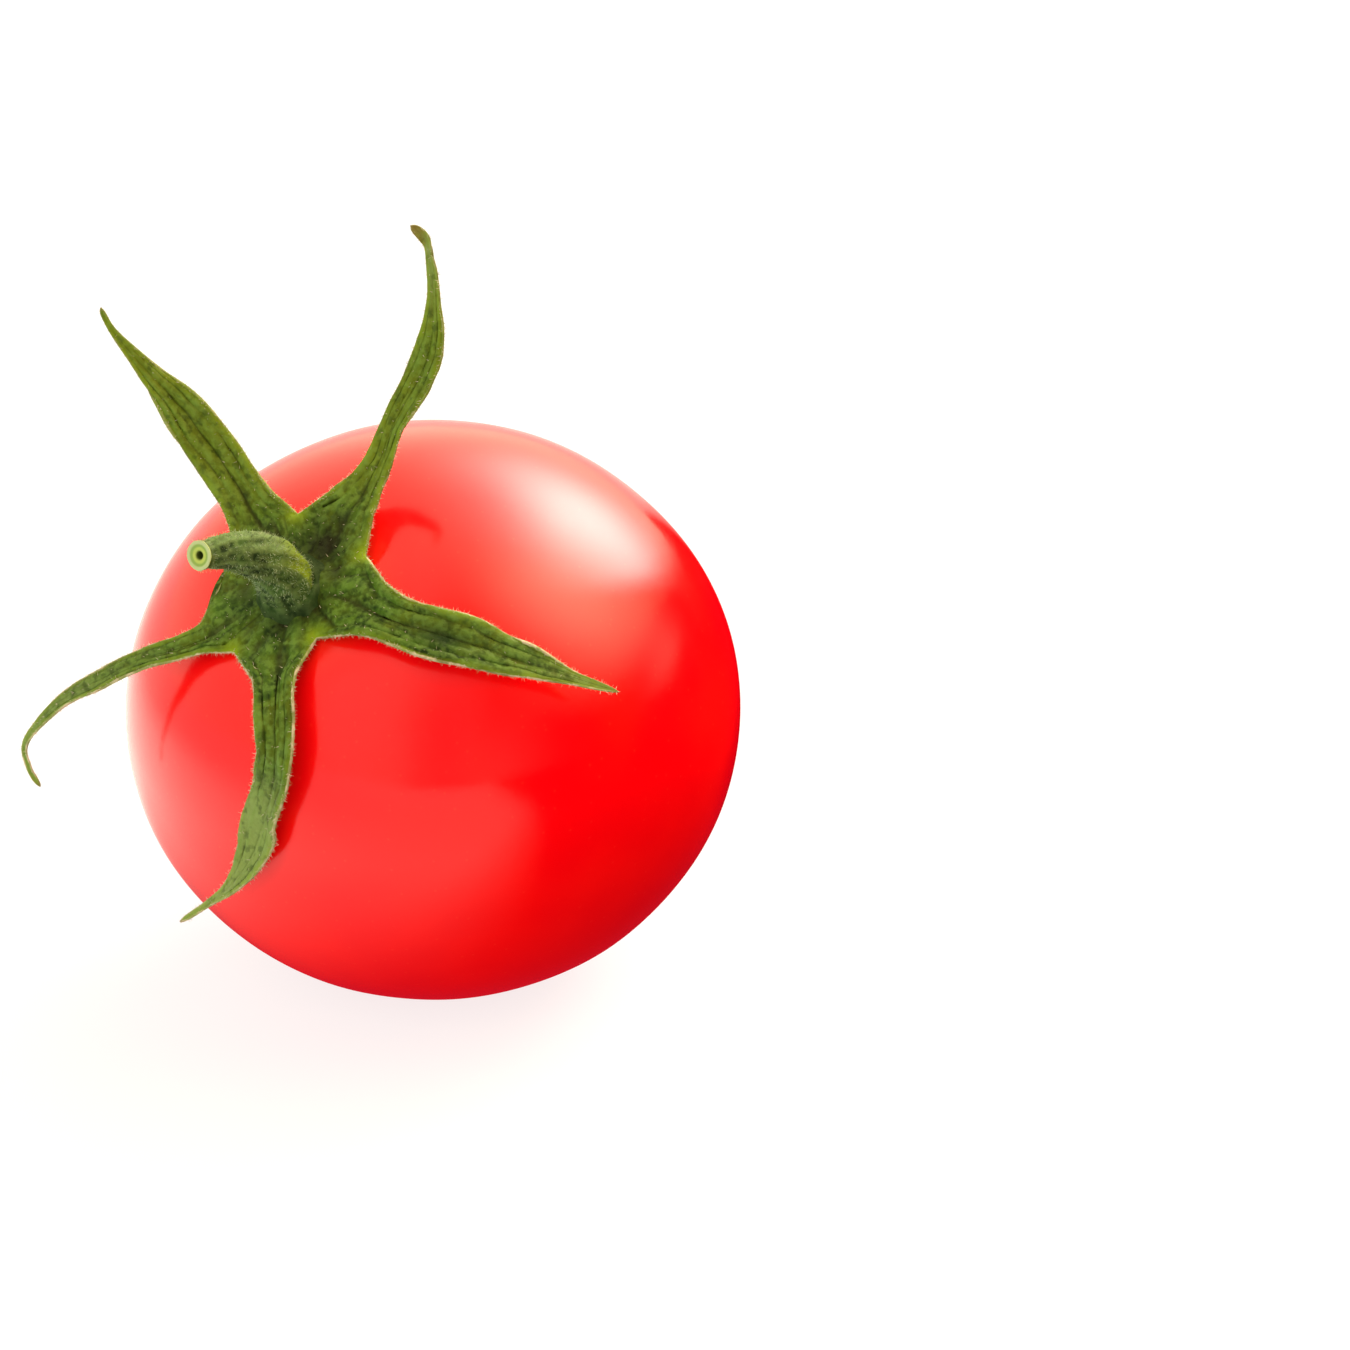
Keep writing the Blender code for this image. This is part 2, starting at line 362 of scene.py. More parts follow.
# %% [markdown]
# ## The floor
# The fruit lies on a plain white table. Its light matters more than its look: the side of the fruit that
# faces the bright room mirrors a bright table, the side that faces the dark corner mirrors a dark one, and
# close under the fruit the table lies in its shade. So for every ray but the camera's the table shines by
# itself, in that pattern. The camera sees plain white paper with a little real shade on it.

# %% Floor
FLOOR_REACH = 6.0
FLOOR_SIDES = 64
# Each edge is a line on the table: its direction, and how far out the pale part starts and is full.
FLOOR_FRONT_EDGE = ((-0.74, -0.673, 0.0), 6 * MM, 30 * MM)
FLOOR_FAR_EDGE = ((-0.93, -0.37, 0.0), -35 * MM, -12 * MM)
FLOOR_BACK_EDGE = ((-0.94, 0.34, 0.0), 0.0, 25 * MM)
# From where to where the back edge takes over, and from where to where the fruit's shade fades.
FLOOR_BEHIND = (-5 * MM, 25 * MM)
FLOOR_SHADE = (8 * MM, 57 * MM)
FLOOR_UNDER = (0.62, 0.012, 0.03)
FLOOR_DARK = (0.25, 0.0, 0.008)
FLOOR_PALE = (1.0, 0.95, 0.82)
FLOOR_POOL = {"at": (-75 * MM, 15 * MM, 0.0), "spread": 65 * MM, "colour": (1.2, 1.15, 1.0)}
FLOOR_PAPER_SHARE = 0.8

floor_shape = bmesh.new()
bmesh.ops.create_circle(floor_shape, cap_ends=True, segments=FLOOR_SIDES, radius=FLOOR_REACH)
floor_mesh = mesh_of(floor_shape, "floor")
floor_material, floor_tree, *_ = new_material("white_table")
floor_tree.nodes.clear()
place = node(floor_tree, "ShaderNodeTexCoord").outputs["Object"]
behind = fade(floor_tree, node(floor_tree, "ShaderNodeSeparateXYZ", place).outputs["Y"], *FLOOR_BEHIND)
front, far, back = (
    edged(floor_tree, place, edge) for edge in (FLOOR_FRONT_EDGE, FLOOR_FAR_EDGE, FLOOR_BACK_EDGE)
)
sides = {2: times(floor_tree, front, far), 3: back}
pale_share = node(floor_tree, "ShaderNodeMix", behind, named=sides).outputs[0]
from_pool = measured(floor_tree, "DISTANCE", place, FLOOR_POOL["at"])
pool = scaled(floor_tree, FLOOR_POOL["colour"], bell(floor_tree, from_pool, FLOOR_POOL["spread"]))
pale = vectors(floor_tree, "ADD", pool, FLOOR_PALE)
mirrored = mixed(floor_tree, pale_share, FLOOR_DARK, pale)
from_spot = measured(floor_tree, "LENGTH", place)
mirrored = mixed(floor_tree, fade(floor_tree, from_spot, *FLOOR_SHADE), FLOOR_UNDER, mirrored)
camera_ray = node(floor_tree, "ShaderNodeLightPath").outputs["Is Camera Ray"]
table_shader = node(floor_tree, "ShaderNodeBsdfDiffuse", (1, 1, 1, 1))
paper_shader = node(floor_tree, "ShaderNodeEmission", mixed(floor_tree, camera_ray, mirrored, (1, 1, 1)))
paper_share = fade(floor_tree, camera_ray, 0.0, 1.0, 1.0, FLOOR_PAPER_SHARE)
floor_surface = node(
    floor_tree, "ShaderNodeMixShader", paper_share, table_shader.outputs[0], paper_shader.outputs[0]
)
node(floor_tree, "ShaderNodeOutputMaterial", floor_surface.outputs[0])
floor = new_object("floor", floor_mesh, floor_material)
print(f"floor {2 * FLOOR_REACH:.0f} m across")

# %% [markdown]
# ## The fruit's shape
# A tomato follows a rule: a slightly squashed ball with a dimple at the stem, soft shoulders round it, a
# small scar where the blossom was, and a flat where it lies. The stem axis leans to the front left.
# Geometry nodes are the natural tool here, because the rule stays readable and each size is an input that
# can be changed.

# %% Sizes and directions of the fruit
STEM_TILT = math.radians(43.5)
STEM_HEADING = math.radians(233.5)
STEM_AXIS = Vector((
    math.sin(STEM_TILT) * math.cos(STEM_HEADING),
    math.sin(STEM_TILT) * math.sin(STEM_HEADING),
    math.cos(STEM_TILT),
))
UPHILL = (Vector((0, 0, 1)) - STEM_AXIS * STEM_AXIS.z).normalized()
ACROSS = STEM_AXIS.cross(UPHILL)

FRUIT_SIZES = {
    "Width": FRUIT_WIDTH,
    "Depth": FRUIT_DEPTH,
    "Height": FRUIT_HEIGHT,
    "Dimple Depth": 1.3 * MM,
    "Dimple Spread": math.radians(15),
    "Shoulders": 5.0,
    "Shoulder Relief": 0.12 * MM,
    "Shoulder Spread": math.radians(34),
    "Scar Depth": 0.5 * MM,
    "Scar Spread": math.radians(7),
    "Unevenness": 0.22 * MM,
    "Unevenness Scale": 2.2,
    "Rest Rounding": 0.4 * MM,
}
FRUIT_DIRECTIONS = {"Centre": FRUIT_CENTRE, "Stem Axis": STEM_AXIS, "Uphill": UPHILL, "Across": ACROSS}
FRUIT_AROUND = 256
FRUIT_ALONG = 160
print(f"stem axis leans {math.degrees(STEM_TILT):.1f} degrees")

# %% [markdown]
# The tree starts from a plain ball, whose points are directions. It turns each direction so that the ball's
# poles lie on the stem axis, works out how far the skin is in that direction, and presses the lowest points
# up to the table. The uneven lumps fade out under the calyx, so that the sepals' own rule for the skin
# still holds.

# %% Geometry-node tree of the fruit
def fruit_tree():
    directions = [(name, "NodeSocketVector", value) for name, value in FRUIT_DIRECTIONS.items()]
    inputs = [*numbers(FRUIT_SIZES), *directions, ("Skin", "NodeSocketMaterial", None)]
    tree, given, result = new_shape_tree("tomato fruit", inputs)
    ball = node(tree, "GeometryNodeMeshUVSphere", FRUIT_AROUND, FRUIT_ALONG, 1.0)
    local = node(tree, "ShaderNodeSeparateXYZ", node(tree, "GeometryNodeInputPosition").outputs[0]).outputs
    uphill, across, along = (
        scaled(tree, given[name], part) for name, part in zip(("Uphill", "Across", "Stem Axis"), local)
    )
    direction = vectors(tree, "ADD", vectors(tree, "ADD", uphill, across), along)
    sizes = node(tree, "ShaderNodeCombineXYZ", given["Width"], given["Depth"], given["Height"]).outputs[0]
    squashed = vectors(tree, "DIVIDE", direction, sizes)
    radius = maths(tree, "DIVIDE", 0.5, measured(tree, "LENGTH", squashed))

    from_stem = maths(tree, "ARCCOSINE", node(tree, "ShaderNodeClamp", local[2], -1.0, 1.0).outputs[0])
    turn = maths(tree, "ARCTAN2", local[1], local[0])
    spread = maths(tree, "POWER", maths(tree, "DIVIDE", from_stem, given["Shoulder Spread"]), 2.0)
    swell = times(tree, spread, maths(tree, "EXPONENT", maths(tree, "SUBTRACT", 1.0, spread)))
    lobes = maths(tree, "COSINE", times(tree, turn, given["Shoulders"]))
    shoulders = times(tree, lobes, swell, given["Shoulder Relief"])
    dimple = times(tree, bell(tree, from_stem, given["Dimple Spread"]), given["Dimple Depth"])
    from_scar = maths(tree, "SUBTRACT", math.pi, from_stem)
    scar = times(tree, bell(tree, from_scar, given["Scar Spread"]), given["Scar Depth"])
    waves = {"Vector": direction, "Scale": given["Unevenness Scale"], "Detail": 0.0}
    lumps = maths(tree, "SUBTRACT", node(tree, "ShaderNodeTexNoise", named=waves).outputs[0], 0.5)
    lumps = times(tree, lumps, given["Unevenness"], fade(tree, from_stem, 0.2, 0.7))
    for relief, operation in ((shoulders, "ADD"), (lumps, "ADD"), (dimple, "SUBTRACT"), (scar, "SUBTRACT")):
        radius = maths(tree, operation, radius, relief)

    skin = vectors(tree, "ADD", given["Centre"], scaled(tree, direction, radius))
    parts = node(tree, "ShaderNodeSeparateXYZ", skin).outputs
    level = maths(tree, "SMOOTH_MAX", parts[2], 0.0, given["Rest Rounding"])
    rested = node(tree, "ShaderNodeCombineXYZ", parts[0], parts[1], level).outputs[0]
    places = {"Geometry": ball.outputs["Mesh"], "Position": rested}
    shaped = node(tree, "GeometryNodeSetPosition", named=places).outputs[0]
    shading = {"Geometry": shaped, "Shade Smooth": True}
    smooth = node(tree, "GeometryNodeSetShadeSmooth", named=shading).outputs[0]
    tree.links.new(finished(tree, smooth, given["Skin"]), result.inputs[0])
    return tree


fruit_group = fruit_tree()
print("fruit tree has", len(fruit_group.nodes), "nodes")

# %% [markdown]
# ## From a tree to a plain mesh
# A tree needs an object to run on. This helper makes one, sets the tree's inputs by their identifiers
# before the first evaluation, keeps the result as a plain mesh and throws the object away, so no modifier
# stays behind.

# %% Run a tree once
def plain_mesh(piece, name):
    """The piece's mesh with its modifiers worked in, under a new name. The piece itself goes."""
    bpy.context.view_layer.update()
    mesh = bpy.data.meshes.new_from_object(piece.evaluated_get(bpy.context.evaluated_depsgraph_get()))
    mesh.name = name
    bpy.data.objects.remove(piece)
    return mesh


def grown(name, tree, values, start_mesh=None):
    """Runs a geometry-node tree once, with values given by input name. The result is a plain mesh."""
    seed = linked(name + " seed", start_mesh or bpy.data.meshes.new(name + " seed"))
    modifier = seed.modifiers.new("shape", "NODES")
    modifier.node_group = tree
    for item in tree.interface.items_tree:
        if item.in_out == "INPUT" and item.name in values:
            value = values[item.name]
            modifier[item.identifier] = tuple(value) if isinstance(value, Vector) else value
    return plain_mesh(seed, name)


print("trees can be grown")

# %% [markdown]
# ## Patterns that several finishes share
# Grown things are never one even colour. Two small shader groups are used by the skin, the sepals and the
# stem: "mottle" turns noise into a soft mask of blotches, and "specks" scatters small dots, of which only
# some show. Both put out masks alone, so each material decides what colour or height they stand for.

# %% Shader groups
def new_mask(name, sizes):
    inputs = [("Vector", "NodeSocketVector", None), *numbers(sizes)]
    return new_group(name, "ShaderNodeTree", inputs, [("Share", "NodeSocketFloat")])


def mottle_group():
    tree, given, result = new_mask("mottle", {"Scale": 200.0, "Detail": 3.0, "Low": 0.35, "High": 0.65})
    waves = {name: given[name] for name in ("Vector", "Scale", "Detail")}
    cloud = node(tree, "ShaderNodeTexNoise", named=waves).outputs[0]
    tree.links.new(fade(tree, cloud, given["Low"], given["High"]), result.inputs[0])
    return tree


def specks_group():
    tree, given, result = new_mask("specks", {"Scale": 1000.0, "Size": 0.2, "Amount": 0.5})
    spacing = {"Vector": given["Vector"], "Scale": given["Scale"]}
    cells = node(tree, "ShaderNodeTexVoronoi", named=spacing).outputs
    dots = fade(tree, cells["Distance"], given["Size"], 0.0)
    chance = node(tree, "ShaderNodeSeparateColor", cells["Color"]).outputs[0]
    chosen = maths(tree, "LESS_THAN", chance, given["Amount"])
    tree.links.new(times(tree, dots, chosen), result.inputs[0])
    return tree


MOTTLE = mottle_group()
SPECKS = specks_group()


def pattern(tree, group, vector, **values):
    """One of the shared patterns placed in a material, with that material's own values."""
    return node(tree, "ShaderNodeGroup", named={"Vector": vector, **values}, node_tree=group).outputs["Share"]


def bumped(tree, height, distance, strength=1.0):
    """A normal that is bent by a height map. distance is how far one unit of height stands out, in metres."""
    heights = {"Strength": strength, "Distance": distance, "Height": height}
    return node(tree, "ShaderNodeBump", named=heights).outputs[0]


print("shader groups:", MOTTLE.name, SPECKS.name)

# %% [markdown]
# ## The skin's finish
# Ripe tomato skin is a clear wax film over saturated red flesh. It is nearly even in colour: a little
# warmer and paler in soft blotches, sprinkled with very fine pale dots, slightly orange where the calyx
# shaded it, and corky brown at the blossom's scar. The gloss comes from the shader's own reflection, a
# light reaches a short way into the flesh, and a faint bump keeps the mirror image from being too perfect.

# %% Skin material
SKIN_DEEP = (0.80, 0.0005, 0.003)
SKIN_WARM = (0.88, 0.0035, 0.003)
SKIN_SHOULDER = (0.84, 0.020, 0.005)
SKIN_SPECK = (1.0, 0.10, 0.04)
SCAR_CORK = (0.20, 0.11, 0.05)
SHOULDER_ANGLE = (math.cos(math.radians(9)), math.cos(math.radians(22)))
SCAR_ANGLE = (math.cos(math.radians(1.5)), math.cos(math.radians(4)))
SHOULDER_SHARE = 0.6
SPECK_SHARE = 0.10
WAX_ROUGHNESS = 0.13
WAX_UNEVENNESS = 0.05
SCAR_ROUGHNESS = 0.5
SKIN_GRAIN = 0.004 * MM
# How far light goes into the flesh, as a share of the flesh's glow, a depth, and each colour's part of it.
FLESH_SHARE = 0.15
FLESH_DEPTH = 2 * MM
FLESH_COLOURS = (1.0, 0.15, 0.08)


def skin_material():
    material, tree, shader, place = new_material("ripe_skin")
    spoke = vectors(tree, "NORMALIZE", vectors(tree, "SUBTRACT", place, FRUIT_CENTRE))
    to_stem = dot(tree, spoke, STEM_AXIS)
    blotches = pattern(tree, MOTTLE, place, Scale=70.0, Detail=2.0, Low=0.38, High=0.66)
    dots = pattern(tree, SPECKS, place, Scale=1150.0, Size=0.22, Amount=0.45)
    near_calyx = fade(tree, to_stem, SHOULDER_ANGLE[1], SHOULDER_ANGLE[0], 0.0, SHOULDER_SHARE)
    scar = fade(tree, times(tree, to_stem, -1.0), SCAR_ANGLE[1], SCAR_ANGLE[0])
    colour = painted(tree, mixed(tree, blotches, SKIN_DEEP, SKIN_WARM), (
        (near_calyx, SKIN_SHOULDER),
        (times(tree, dots, SPECK_SHARE), SKIN_SPECK),
        (scar, SCAR_CORK),
    ))
    wax = pattern(tree, MOTTLE, place, Scale=260.0, Detail=3.0, Low=0.3, High=0.7)
    roughness = maths(tree, "MULTIPLY_ADD", wax, WAX_UNEVENNESS, WAX_ROUGHNESS)
    roughness = maths(tree, "MULTIPLY_ADD", scar, SCAR_ROUGHNESS, roughness)
    ripples = pattern(tree, MOTTLE, place, Scale=900.0, Low=0.2, High=0.8)
    grain = maths(tree, "MULTIPLY_ADD", dots, 0.5, ripples)
    give(tree, shader, {
        "Base Color": colour,
        "Roughness": roughness,
        "Normal": bumped(tree, grain, SKIN_GRAIN),
        "Subsurface Weight": FLESH_SHARE,
        "Subsurface Radius": FLESH_COLOURS,
        "Subsurface Scale": FLESH_DEPTH,
    })
    return material


fruit_values = {**FRUIT_SIZES, **FRUIT_DIRECTIONS, "Skin": skin_material()}
fruit_skin = new_object("fruit_skin", grown("fruit_skin", fruit_group, fruit_values), fruit_values["Skin"])
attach(fruit_skin, "root")
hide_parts("fruit")
print("fruit:", len(fruit_skin.data.polygons), "faces")

# %% [markdown]
# ## The calyx: routes of the five sepals
# The calyx is one star of leaf. Each sepal is a strip that follows its own midrib, and each differs: two
# stand up off the fruit, one hangs out to the left and ends in a hook, and two lie on the skin. A midrib is
# written in the calyx's own terms: reach from the stem axis, heading round it and lift above the dimple's
# floor. Strips that follow a path could come from curves, but then the margins could not be welded into one
# star, so the sheet is woven row by row in code.

# %% Routes of the sepals
# Waypoints of each midrib: reach (mm), heading (degrees, 0 is uphill), lift (mm) and half width (mm).
SEPALS = {
    "upper_left": (
        (6.6, 58, 1.1, 2.5), (9.8, 57, 2.0, 2.0), (13.1, 56.5, 3.8, 2.0),
        (16.2, 56.5, 6.6, 1.75), (18.9, 57.5, 9.0, 0.96), (21.0, 58, 11.4, 0.5),
        (22.4, 58, 13.0, 0.27), (23.3, 57, 14.6, 0.28),
    ),
    "left": (
        (7.8, 143, 1.1, 1.7), (10.2, 139.5, 1.0, 1.15), (14.2, 134.5, 0.9, 1.0),
        (18.5, 133, 0.4, 0.9), (21.9, 131.5, -0.6, 0.75), (24.9, 131.5, -1.8, 0.55),
        (27.8, 132, -3.6, 0.36), (28.8, 134, -5.6, 0.26), (28.9, 136, -7.0, 0.22),
    ),
    "lower": (
        (7.1, 198, 1.2, 2.2), (10.5, 200.9, 1.3, 1.75), (13.4, 200.9, 0.2, 1.75),
        (15.8, 197.2, -2.0, 2.0), (17.95, 190.9, -4.9, 2.15), (20.4, 187.1, -6.85, 1.8),
        (22.7, 182, -8.6, 0.8), (24.5, 175.5, -10.4, 0.35), (26.7, 169.5, -12.0, 0.3),
    ),
    "right": (
        (6.6, 266.3, 1.3, 2.9), (10.0, 266, 1.2, 2.05), (12.9, 267.6, -0.1, 2.15),
        (15.4, 270.4, -1.6, 2.1), (17.7, 271.7, -3.3, 1.7), (20.1, 272.8, -4.8, 1.25),
        (22.5, 273.5, -6.4, 0.6), (25.8, 274.5, -8.4, 0.25),
    ),
    "upper_right": (
        (6.4, 346.5, 1.1, 2.7), (8.9, 348, 1.0, 2.0), (11.4, 348, 1.6, 1.35),
        (14.1, 349.5, 2.4, 1.25), (18.3, 348, 3.8, 1.6), (21.3, 348.5, 5.2, 1.25),
        (23.8, 350, 7.2, 0.65), (25.7, 351, 9.4, 0.5), (26.7, 351, 11.6, 0.42),
        (26.8, 352, 13.6, 0.44),
    ),
}
# Reach (mm) and heading (degrees) of the notch that follows each sepal, going round the star.
NOTCHES = ((6.7, 86), (7.5, 160.5), (5.7, 227), (6.0, 309.5), (6.3, 391))
print("reach of the sepals, mm:", {name: route[-1][0] for name, route in SEPALS.items()})

# %% [markdown]
# ## The calyx: its place on the fruit
# The calyx grows in the dimple, so its places are counted from the dimple's floor, and its sepals have to
# know where the skin is. That rule is the same one as in the fruit's tree, written once more for mesh code.

# %% Places on the calyx
SEPAL_THICKNESS = 0.6 * MM
SKIN_CLEARANCE = 0.06 * MM


def skin_radius(direction):
    """Distance from the fruit's centre to its skin in a direction, by the rule of the fruit's tree."""
    sizes = (FRUIT_WIDTH, FRUIT_DEPTH, FRUIT_HEIGHT)
    ball = 0.5 / math.sqrt(sum((part / size) ** 2 for part, size in zip(direction, sizes)))
    from_stem = math.acos(max(-1, min(1, direction.dot(STEM_AXIS))))
    turn = math.atan2(direction.dot(ACROSS), direction.dot(UPHILL))
    spread = (from_stem / FRUIT_SIZES["Shoulder Spread"]) ** 2
    lobes = math.cos(FRUIT_SIZES["Shoulders"] * turn) * spread * math.exp(1 - spread)
    dimple = hump(from_stem, FRUIT_SIZES["Dimple Spread"])
    return ball + FRUIT_SIZES["Shoulder Relief"] * lobes - FRUIT_SIZES["Dimple Depth"] * dimple


DIMPLE_FLOOR = FRUIT_CENTRE + STEM_AXIS * skin_radius(STEM_AXIS)


def calyx_place(reach, heading, lift):
    """A point in the calyx's own terms: away from the stem axis, round it, and up from the dimple's floor."""
    outward = UPHILL * math.cos(heading) + ACROSS * math.sin(heading)
    return DIMPLE_FLOOR + outward * reach + STEM_AXIS * lift


def above_skin(point, thickness):
    """The point, moved straight out where the sepal's underside would touch the skin."""
    spoke = point - FRUIT_CENTRE
    direction = spoke.normalized()
    least = skin_radius(direction) + SKIN_CLEARANCE + thickness / 2
    return FRUIT_CENTRE + direction * max(spoke.length, least)


print(f"dimple floor {DIMPLE_FLOOR.z / MM:.1f} mm above the table")

# %% [markdown]
# ## Smooth routes
# A midrib, and later the stem, is a few waypoints with a smooth line through them. Catmull-Rom samples are
# used because the line passes through every waypoint, so each one can be moved by itself.

# %% Smooth routes
def smooth_route(waypoints, per_span):
    """Catmull-Rom samples through tuples of numbers, per_span to each stretch."""
    first = [2 * a - b for a, b in zip(waypoints[0], waypoints[1])]
    last = [2 * a - b for a, b in zip(waypoints[-1], waypoints[-2])]
    knots = [first, *waypoints, last]
    samples = []
    for stretch in zip(knots, knots[1:], knots[2:], knots[3:]):
        for step in range(per_span):
            t = step / per_span
            weights = (
                (-t + 2 * t**2 - t**3) / 2,
                (2 - 5 * t**2 + 3 * t**3) / 2,
                (t + 4 * t**2 - 3 * t**3) / 2,
                (-(t**2) + t**3) / 2,
            )
            samples.append([sum(w * v for w, v in zip(weights, values)) for values in zip(*stretch)])
    return [*samples, list(waypoints[-1])]


print("samples on a route of 3 waypoints:", len(smooth_route(((0.0,), (1.0,), (3.0,)), 4)))

# %% [markdown]
# ## The calyx: folds of a blade
# On the real sepal the midrib is a groove, three or four fine ribs run beside it, and the blade between
# them is wrinkled, with ruffled margins. Those folds catch the light, so they are real relief and not only
# bump. The noise goes by place, with a seed for each sepal, so the folds differ and yet come out the same
# every time.

# %% Folds of a blade
GROOVE_DEPTH = 0.24 * MM
GROOVE_WIDTH = 0.11
RIB_HEIGHT = 0.11 * MM
WRINKLE_HEIGHT = 0.13 * MM
RUFFLE_HEIGHT = 0.32 * MM


def sepal_relief(seed, across, along, half_width):
    """Height of the blade's folds at a share across (-1 to 1) and a length along, both from the stem."""
    size = ease(half_width, 0.2 * MM, 1.5 * MM)
    length = along / MM
    sway = 0.10 * noise.noise(Vector((length * 0.22, seed, 3.0)))
    groove = -GROOVE_DEPTH * hump(across - sway, GROOVE_WIDTH) * (0.55 + 0.45 * size)
    wobble = 0.5 * noise.noise(Vector((across * 1.5, length * 0.18, seed)))
    ribs = RIB_HEIGHT * math.cos(math.tau * (2.6 * abs(across - sway) + wobble)) * ease(abs(across), 0.1, 0.3)
    wide = across * half_width / MM
    wrinkles = WRINKLE_HEIGHT * noise.noise(Vector((wide * 1.3, length * 0.55, seed + 7)))
    fine = 0.35 * WRINKLE_HEIGHT * noise.noise(Vector((wide * 3.6, length * 1.5, seed + 9)))
    side = math.copysign(5, across)
    ruffle = RUFFLE_HEIGHT * noise.noise(Vector((length * 0.30, side, seed + 11))) * abs(across) ** 3
    return groove + (ribs + wrinkles + fine + ruffle) * size


print(f"groove {GROOVE_DEPTH / MM:.2f} mm deep, ribs {RIB_HEIGHT / MM:.2f} mm high")

# %% [markdown]
# ## The calyx: rows at the foot
# Near the stem all five sepals melt into one puckered hub, which rises a little towards the stem. Each foot
# is a fan of rows that starts in the hub's middle and ends in a curve from one notch to the next.
# Neighbours share the line of points that runs out to their notch, so that the feet can be welded.

# %% Rows at the foot
SEPAL_COLUMNS = 22
FOOT_ROWS = 16
HUB_START = 1.2 * MM
HUB_RISE = 0.75 * MM
HUB_SPREAD = 2.9 * MM
HUB_LIFT = 0.6 * MM
HUB_PUCKERS = 0.30 * MM
NOTCH_LIFT = 0.8 * MM
NOTCH_PLACES = [(reach * MM, math.radians(heading)) for reach, heading in NOTCHES]


def foot_rows(seed, foot, notch_before, notch_after):
    """Rows of points from the hub's middle out to a sepal's two notches, with their relief."""
    foot_reach, foot_heading, foot_lift = foot
    rows = []
    for row in range(FOOT_ROWS + 1):
        share = row / FOOT_ROWS
        places = []
        for column in range(SEPAL_COLUMNS + 1):
            across = 2 * column / SEPAL_COLUMNS - 1
            notch_reach, notch_heading = notch_before if across < 0 else notch_after
            curve = abs(across) ** 1.6
            reach = lerp(HUB_START, lerp(foot_reach, notch_reach, curve), share)
            heading = lerp(foot_heading, notch_heading, abs(across))
            lift = lerp(HUB_LIFT, lerp(foot_lift, NOTCH_LIFT, curve), ease(share, 0.0, 1.0))
            lift += HUB_RISE * hump(reach, HUB_SPREAD)
            inside = 1 - abs(across) ** 6
            around = Vector((math.cos(heading) * 3.2, math.sin(heading) * 3.2, reach / MM * 0.25))
            pucker = HUB_PUCKERS * noise.noise(around)
            pucker *= ease(reach, HUB_START, 3 * MM) * ease(share, 1.0, 0.55)
            folds = sepal_relief(seed, across, reach - foot_reach, 2 * MM) * inside * ease(share, 0.25, 0.8)
            place = calyx_place(reach, heading, lift + pucker + folds)
            places.append((place, across, reach - foot_reach, 2.5 * MM, pucker + folds))
        rows.append(places)
    return rows


print("each foot has", FOOT_ROWS + 1, "rows of", SEPAL_COLUMNS + 1, "points")

# %% [markdown]
# ## The calyx: rows along the blade
# A blade is a shallow channel across its midrib. It keeps the width of its waypoints nearly to the end,
# where a sepal withers to a slender point, so the last stations narrow in a round curve. The first stations
# are eased out of the foot, so that the two meet without a crease.

# %% Rows along the blade
STATIONS_PER_SPAN = 12
TIP_STATIONS = 7
TIP_LEAST = 0.12
MERGE_STATION = 5
SEPAL_CHANNEL = 0.26


def blade_rows(seed, waypoints):
    """Rows of points across each station of a sepal's midrib, from its foot to its tip."""
    stations = smooth_route(waypoints, STATIONS_PER_SPAN)
    midrib = [calyx_place(reach * MM, math.radians(turn), lift * MM) for reach, turn, lift, _ in stations]
    along = 0.0
    rows = []
    for index in range(1, len(stations)):
        along += (midrib[index] - midrib[index - 1]).length
        from_tip = (len(stations) - 1 - index) / TIP_STATIONS
        rounding = math.sqrt(1 - (1 - min(1.0, from_tip)) ** 2)
        half_width = stations[index][3] * MM * max(TIP_LEAST, rounding)
        ahead = (midrib[min(index + 1, len(midrib) - 1)] - midrib[index - 1]).normalized()
        side = STEM_AXIS.cross(ahead).normalized()
        face = ahead.cross(side)
        places = []
        for column in range(SEPAL_COLUMNS + 1):
            across = 2 * column / SEPAL_COLUMNS - 1
            folds = sepal_relief(seed, across, along, half_width)
            rise = SEPAL_CHANNEL * half_width * across**2 + folds
            place = midrib[index] + side * half_width * across + face * rise
            places.append((place, across, along, half_width, folds))
        rows.append(places)
    return rows


def merged_rows(foot, blade):
    """Foot rows and blade rows as one run, with the first stations of the blade eased out of the foot."""
    target = blade[MERGE_STATION - 1]
    for station in range(MERGE_STATION - 1):
        share = (station + 1) / MERGE_STATION
        pairs = zip(foot[-1], target)
        blade[station] = [tuple(lerp(a, b, share) for a, b in zip(start, end)) for start, end in pairs]
    return [*foot, *blade]


print("blade stations:", [len(smooth_route(route, STATIONS_PER_SPAN)) - 1 for route in SEPALS.values()])

# %% [markdown]
# ## The calyx: hollows, and numbers for the paint
# Hollows lie in the hub between its puckers: real dents, darkened with painted shade. The paint has to know
# where on the leaf it is, so each point of the sheet carries numbers: how far across and along it lies, how
# near the margin, on which sepal, and how much it belongs to the hub, a fold, a notch, a dark patch, a
# hollow, a bleached part or a withered tip. The blade also gets thinner at its margins and where it is
# narrow.

# %% Hollows and paint numbers
PAINT_NUMBERS = (
    "across", "along", "margin", "sepal", "hub", "fold", "notch", "dark_patch", "hollow", "bleach", "tip",
)
MARGIN_THICKNESS = 0.35
NARROW_THICKNESS = 0.6
FOOT_MARGIN = 1.0 * MM
NOTCH_GLOW = 0.9 * MM
FOLD_UNIT = 0.25 * MM
# Hollows in the hub, dark with painted shade: reach (mm), heading (degrees), size (mm) and depth (mm).
HOLLOWS = (
    (3.6, 353, 2.1, 1.2),
    (3.4, 300, 0.9, 0.4),
    (3.0, 235, 1.3, 0.4),
    (3.6, 190, 1.0, 0.3),
    (4.6, 120, 0.9, 0.25),
)
# One darker patch: on which sepal, how far along (mm), its length (mm), how far across and its width.
DARK_PATCH_PLACE = (3, 7.6, 2.3, -0.10, 0.50)
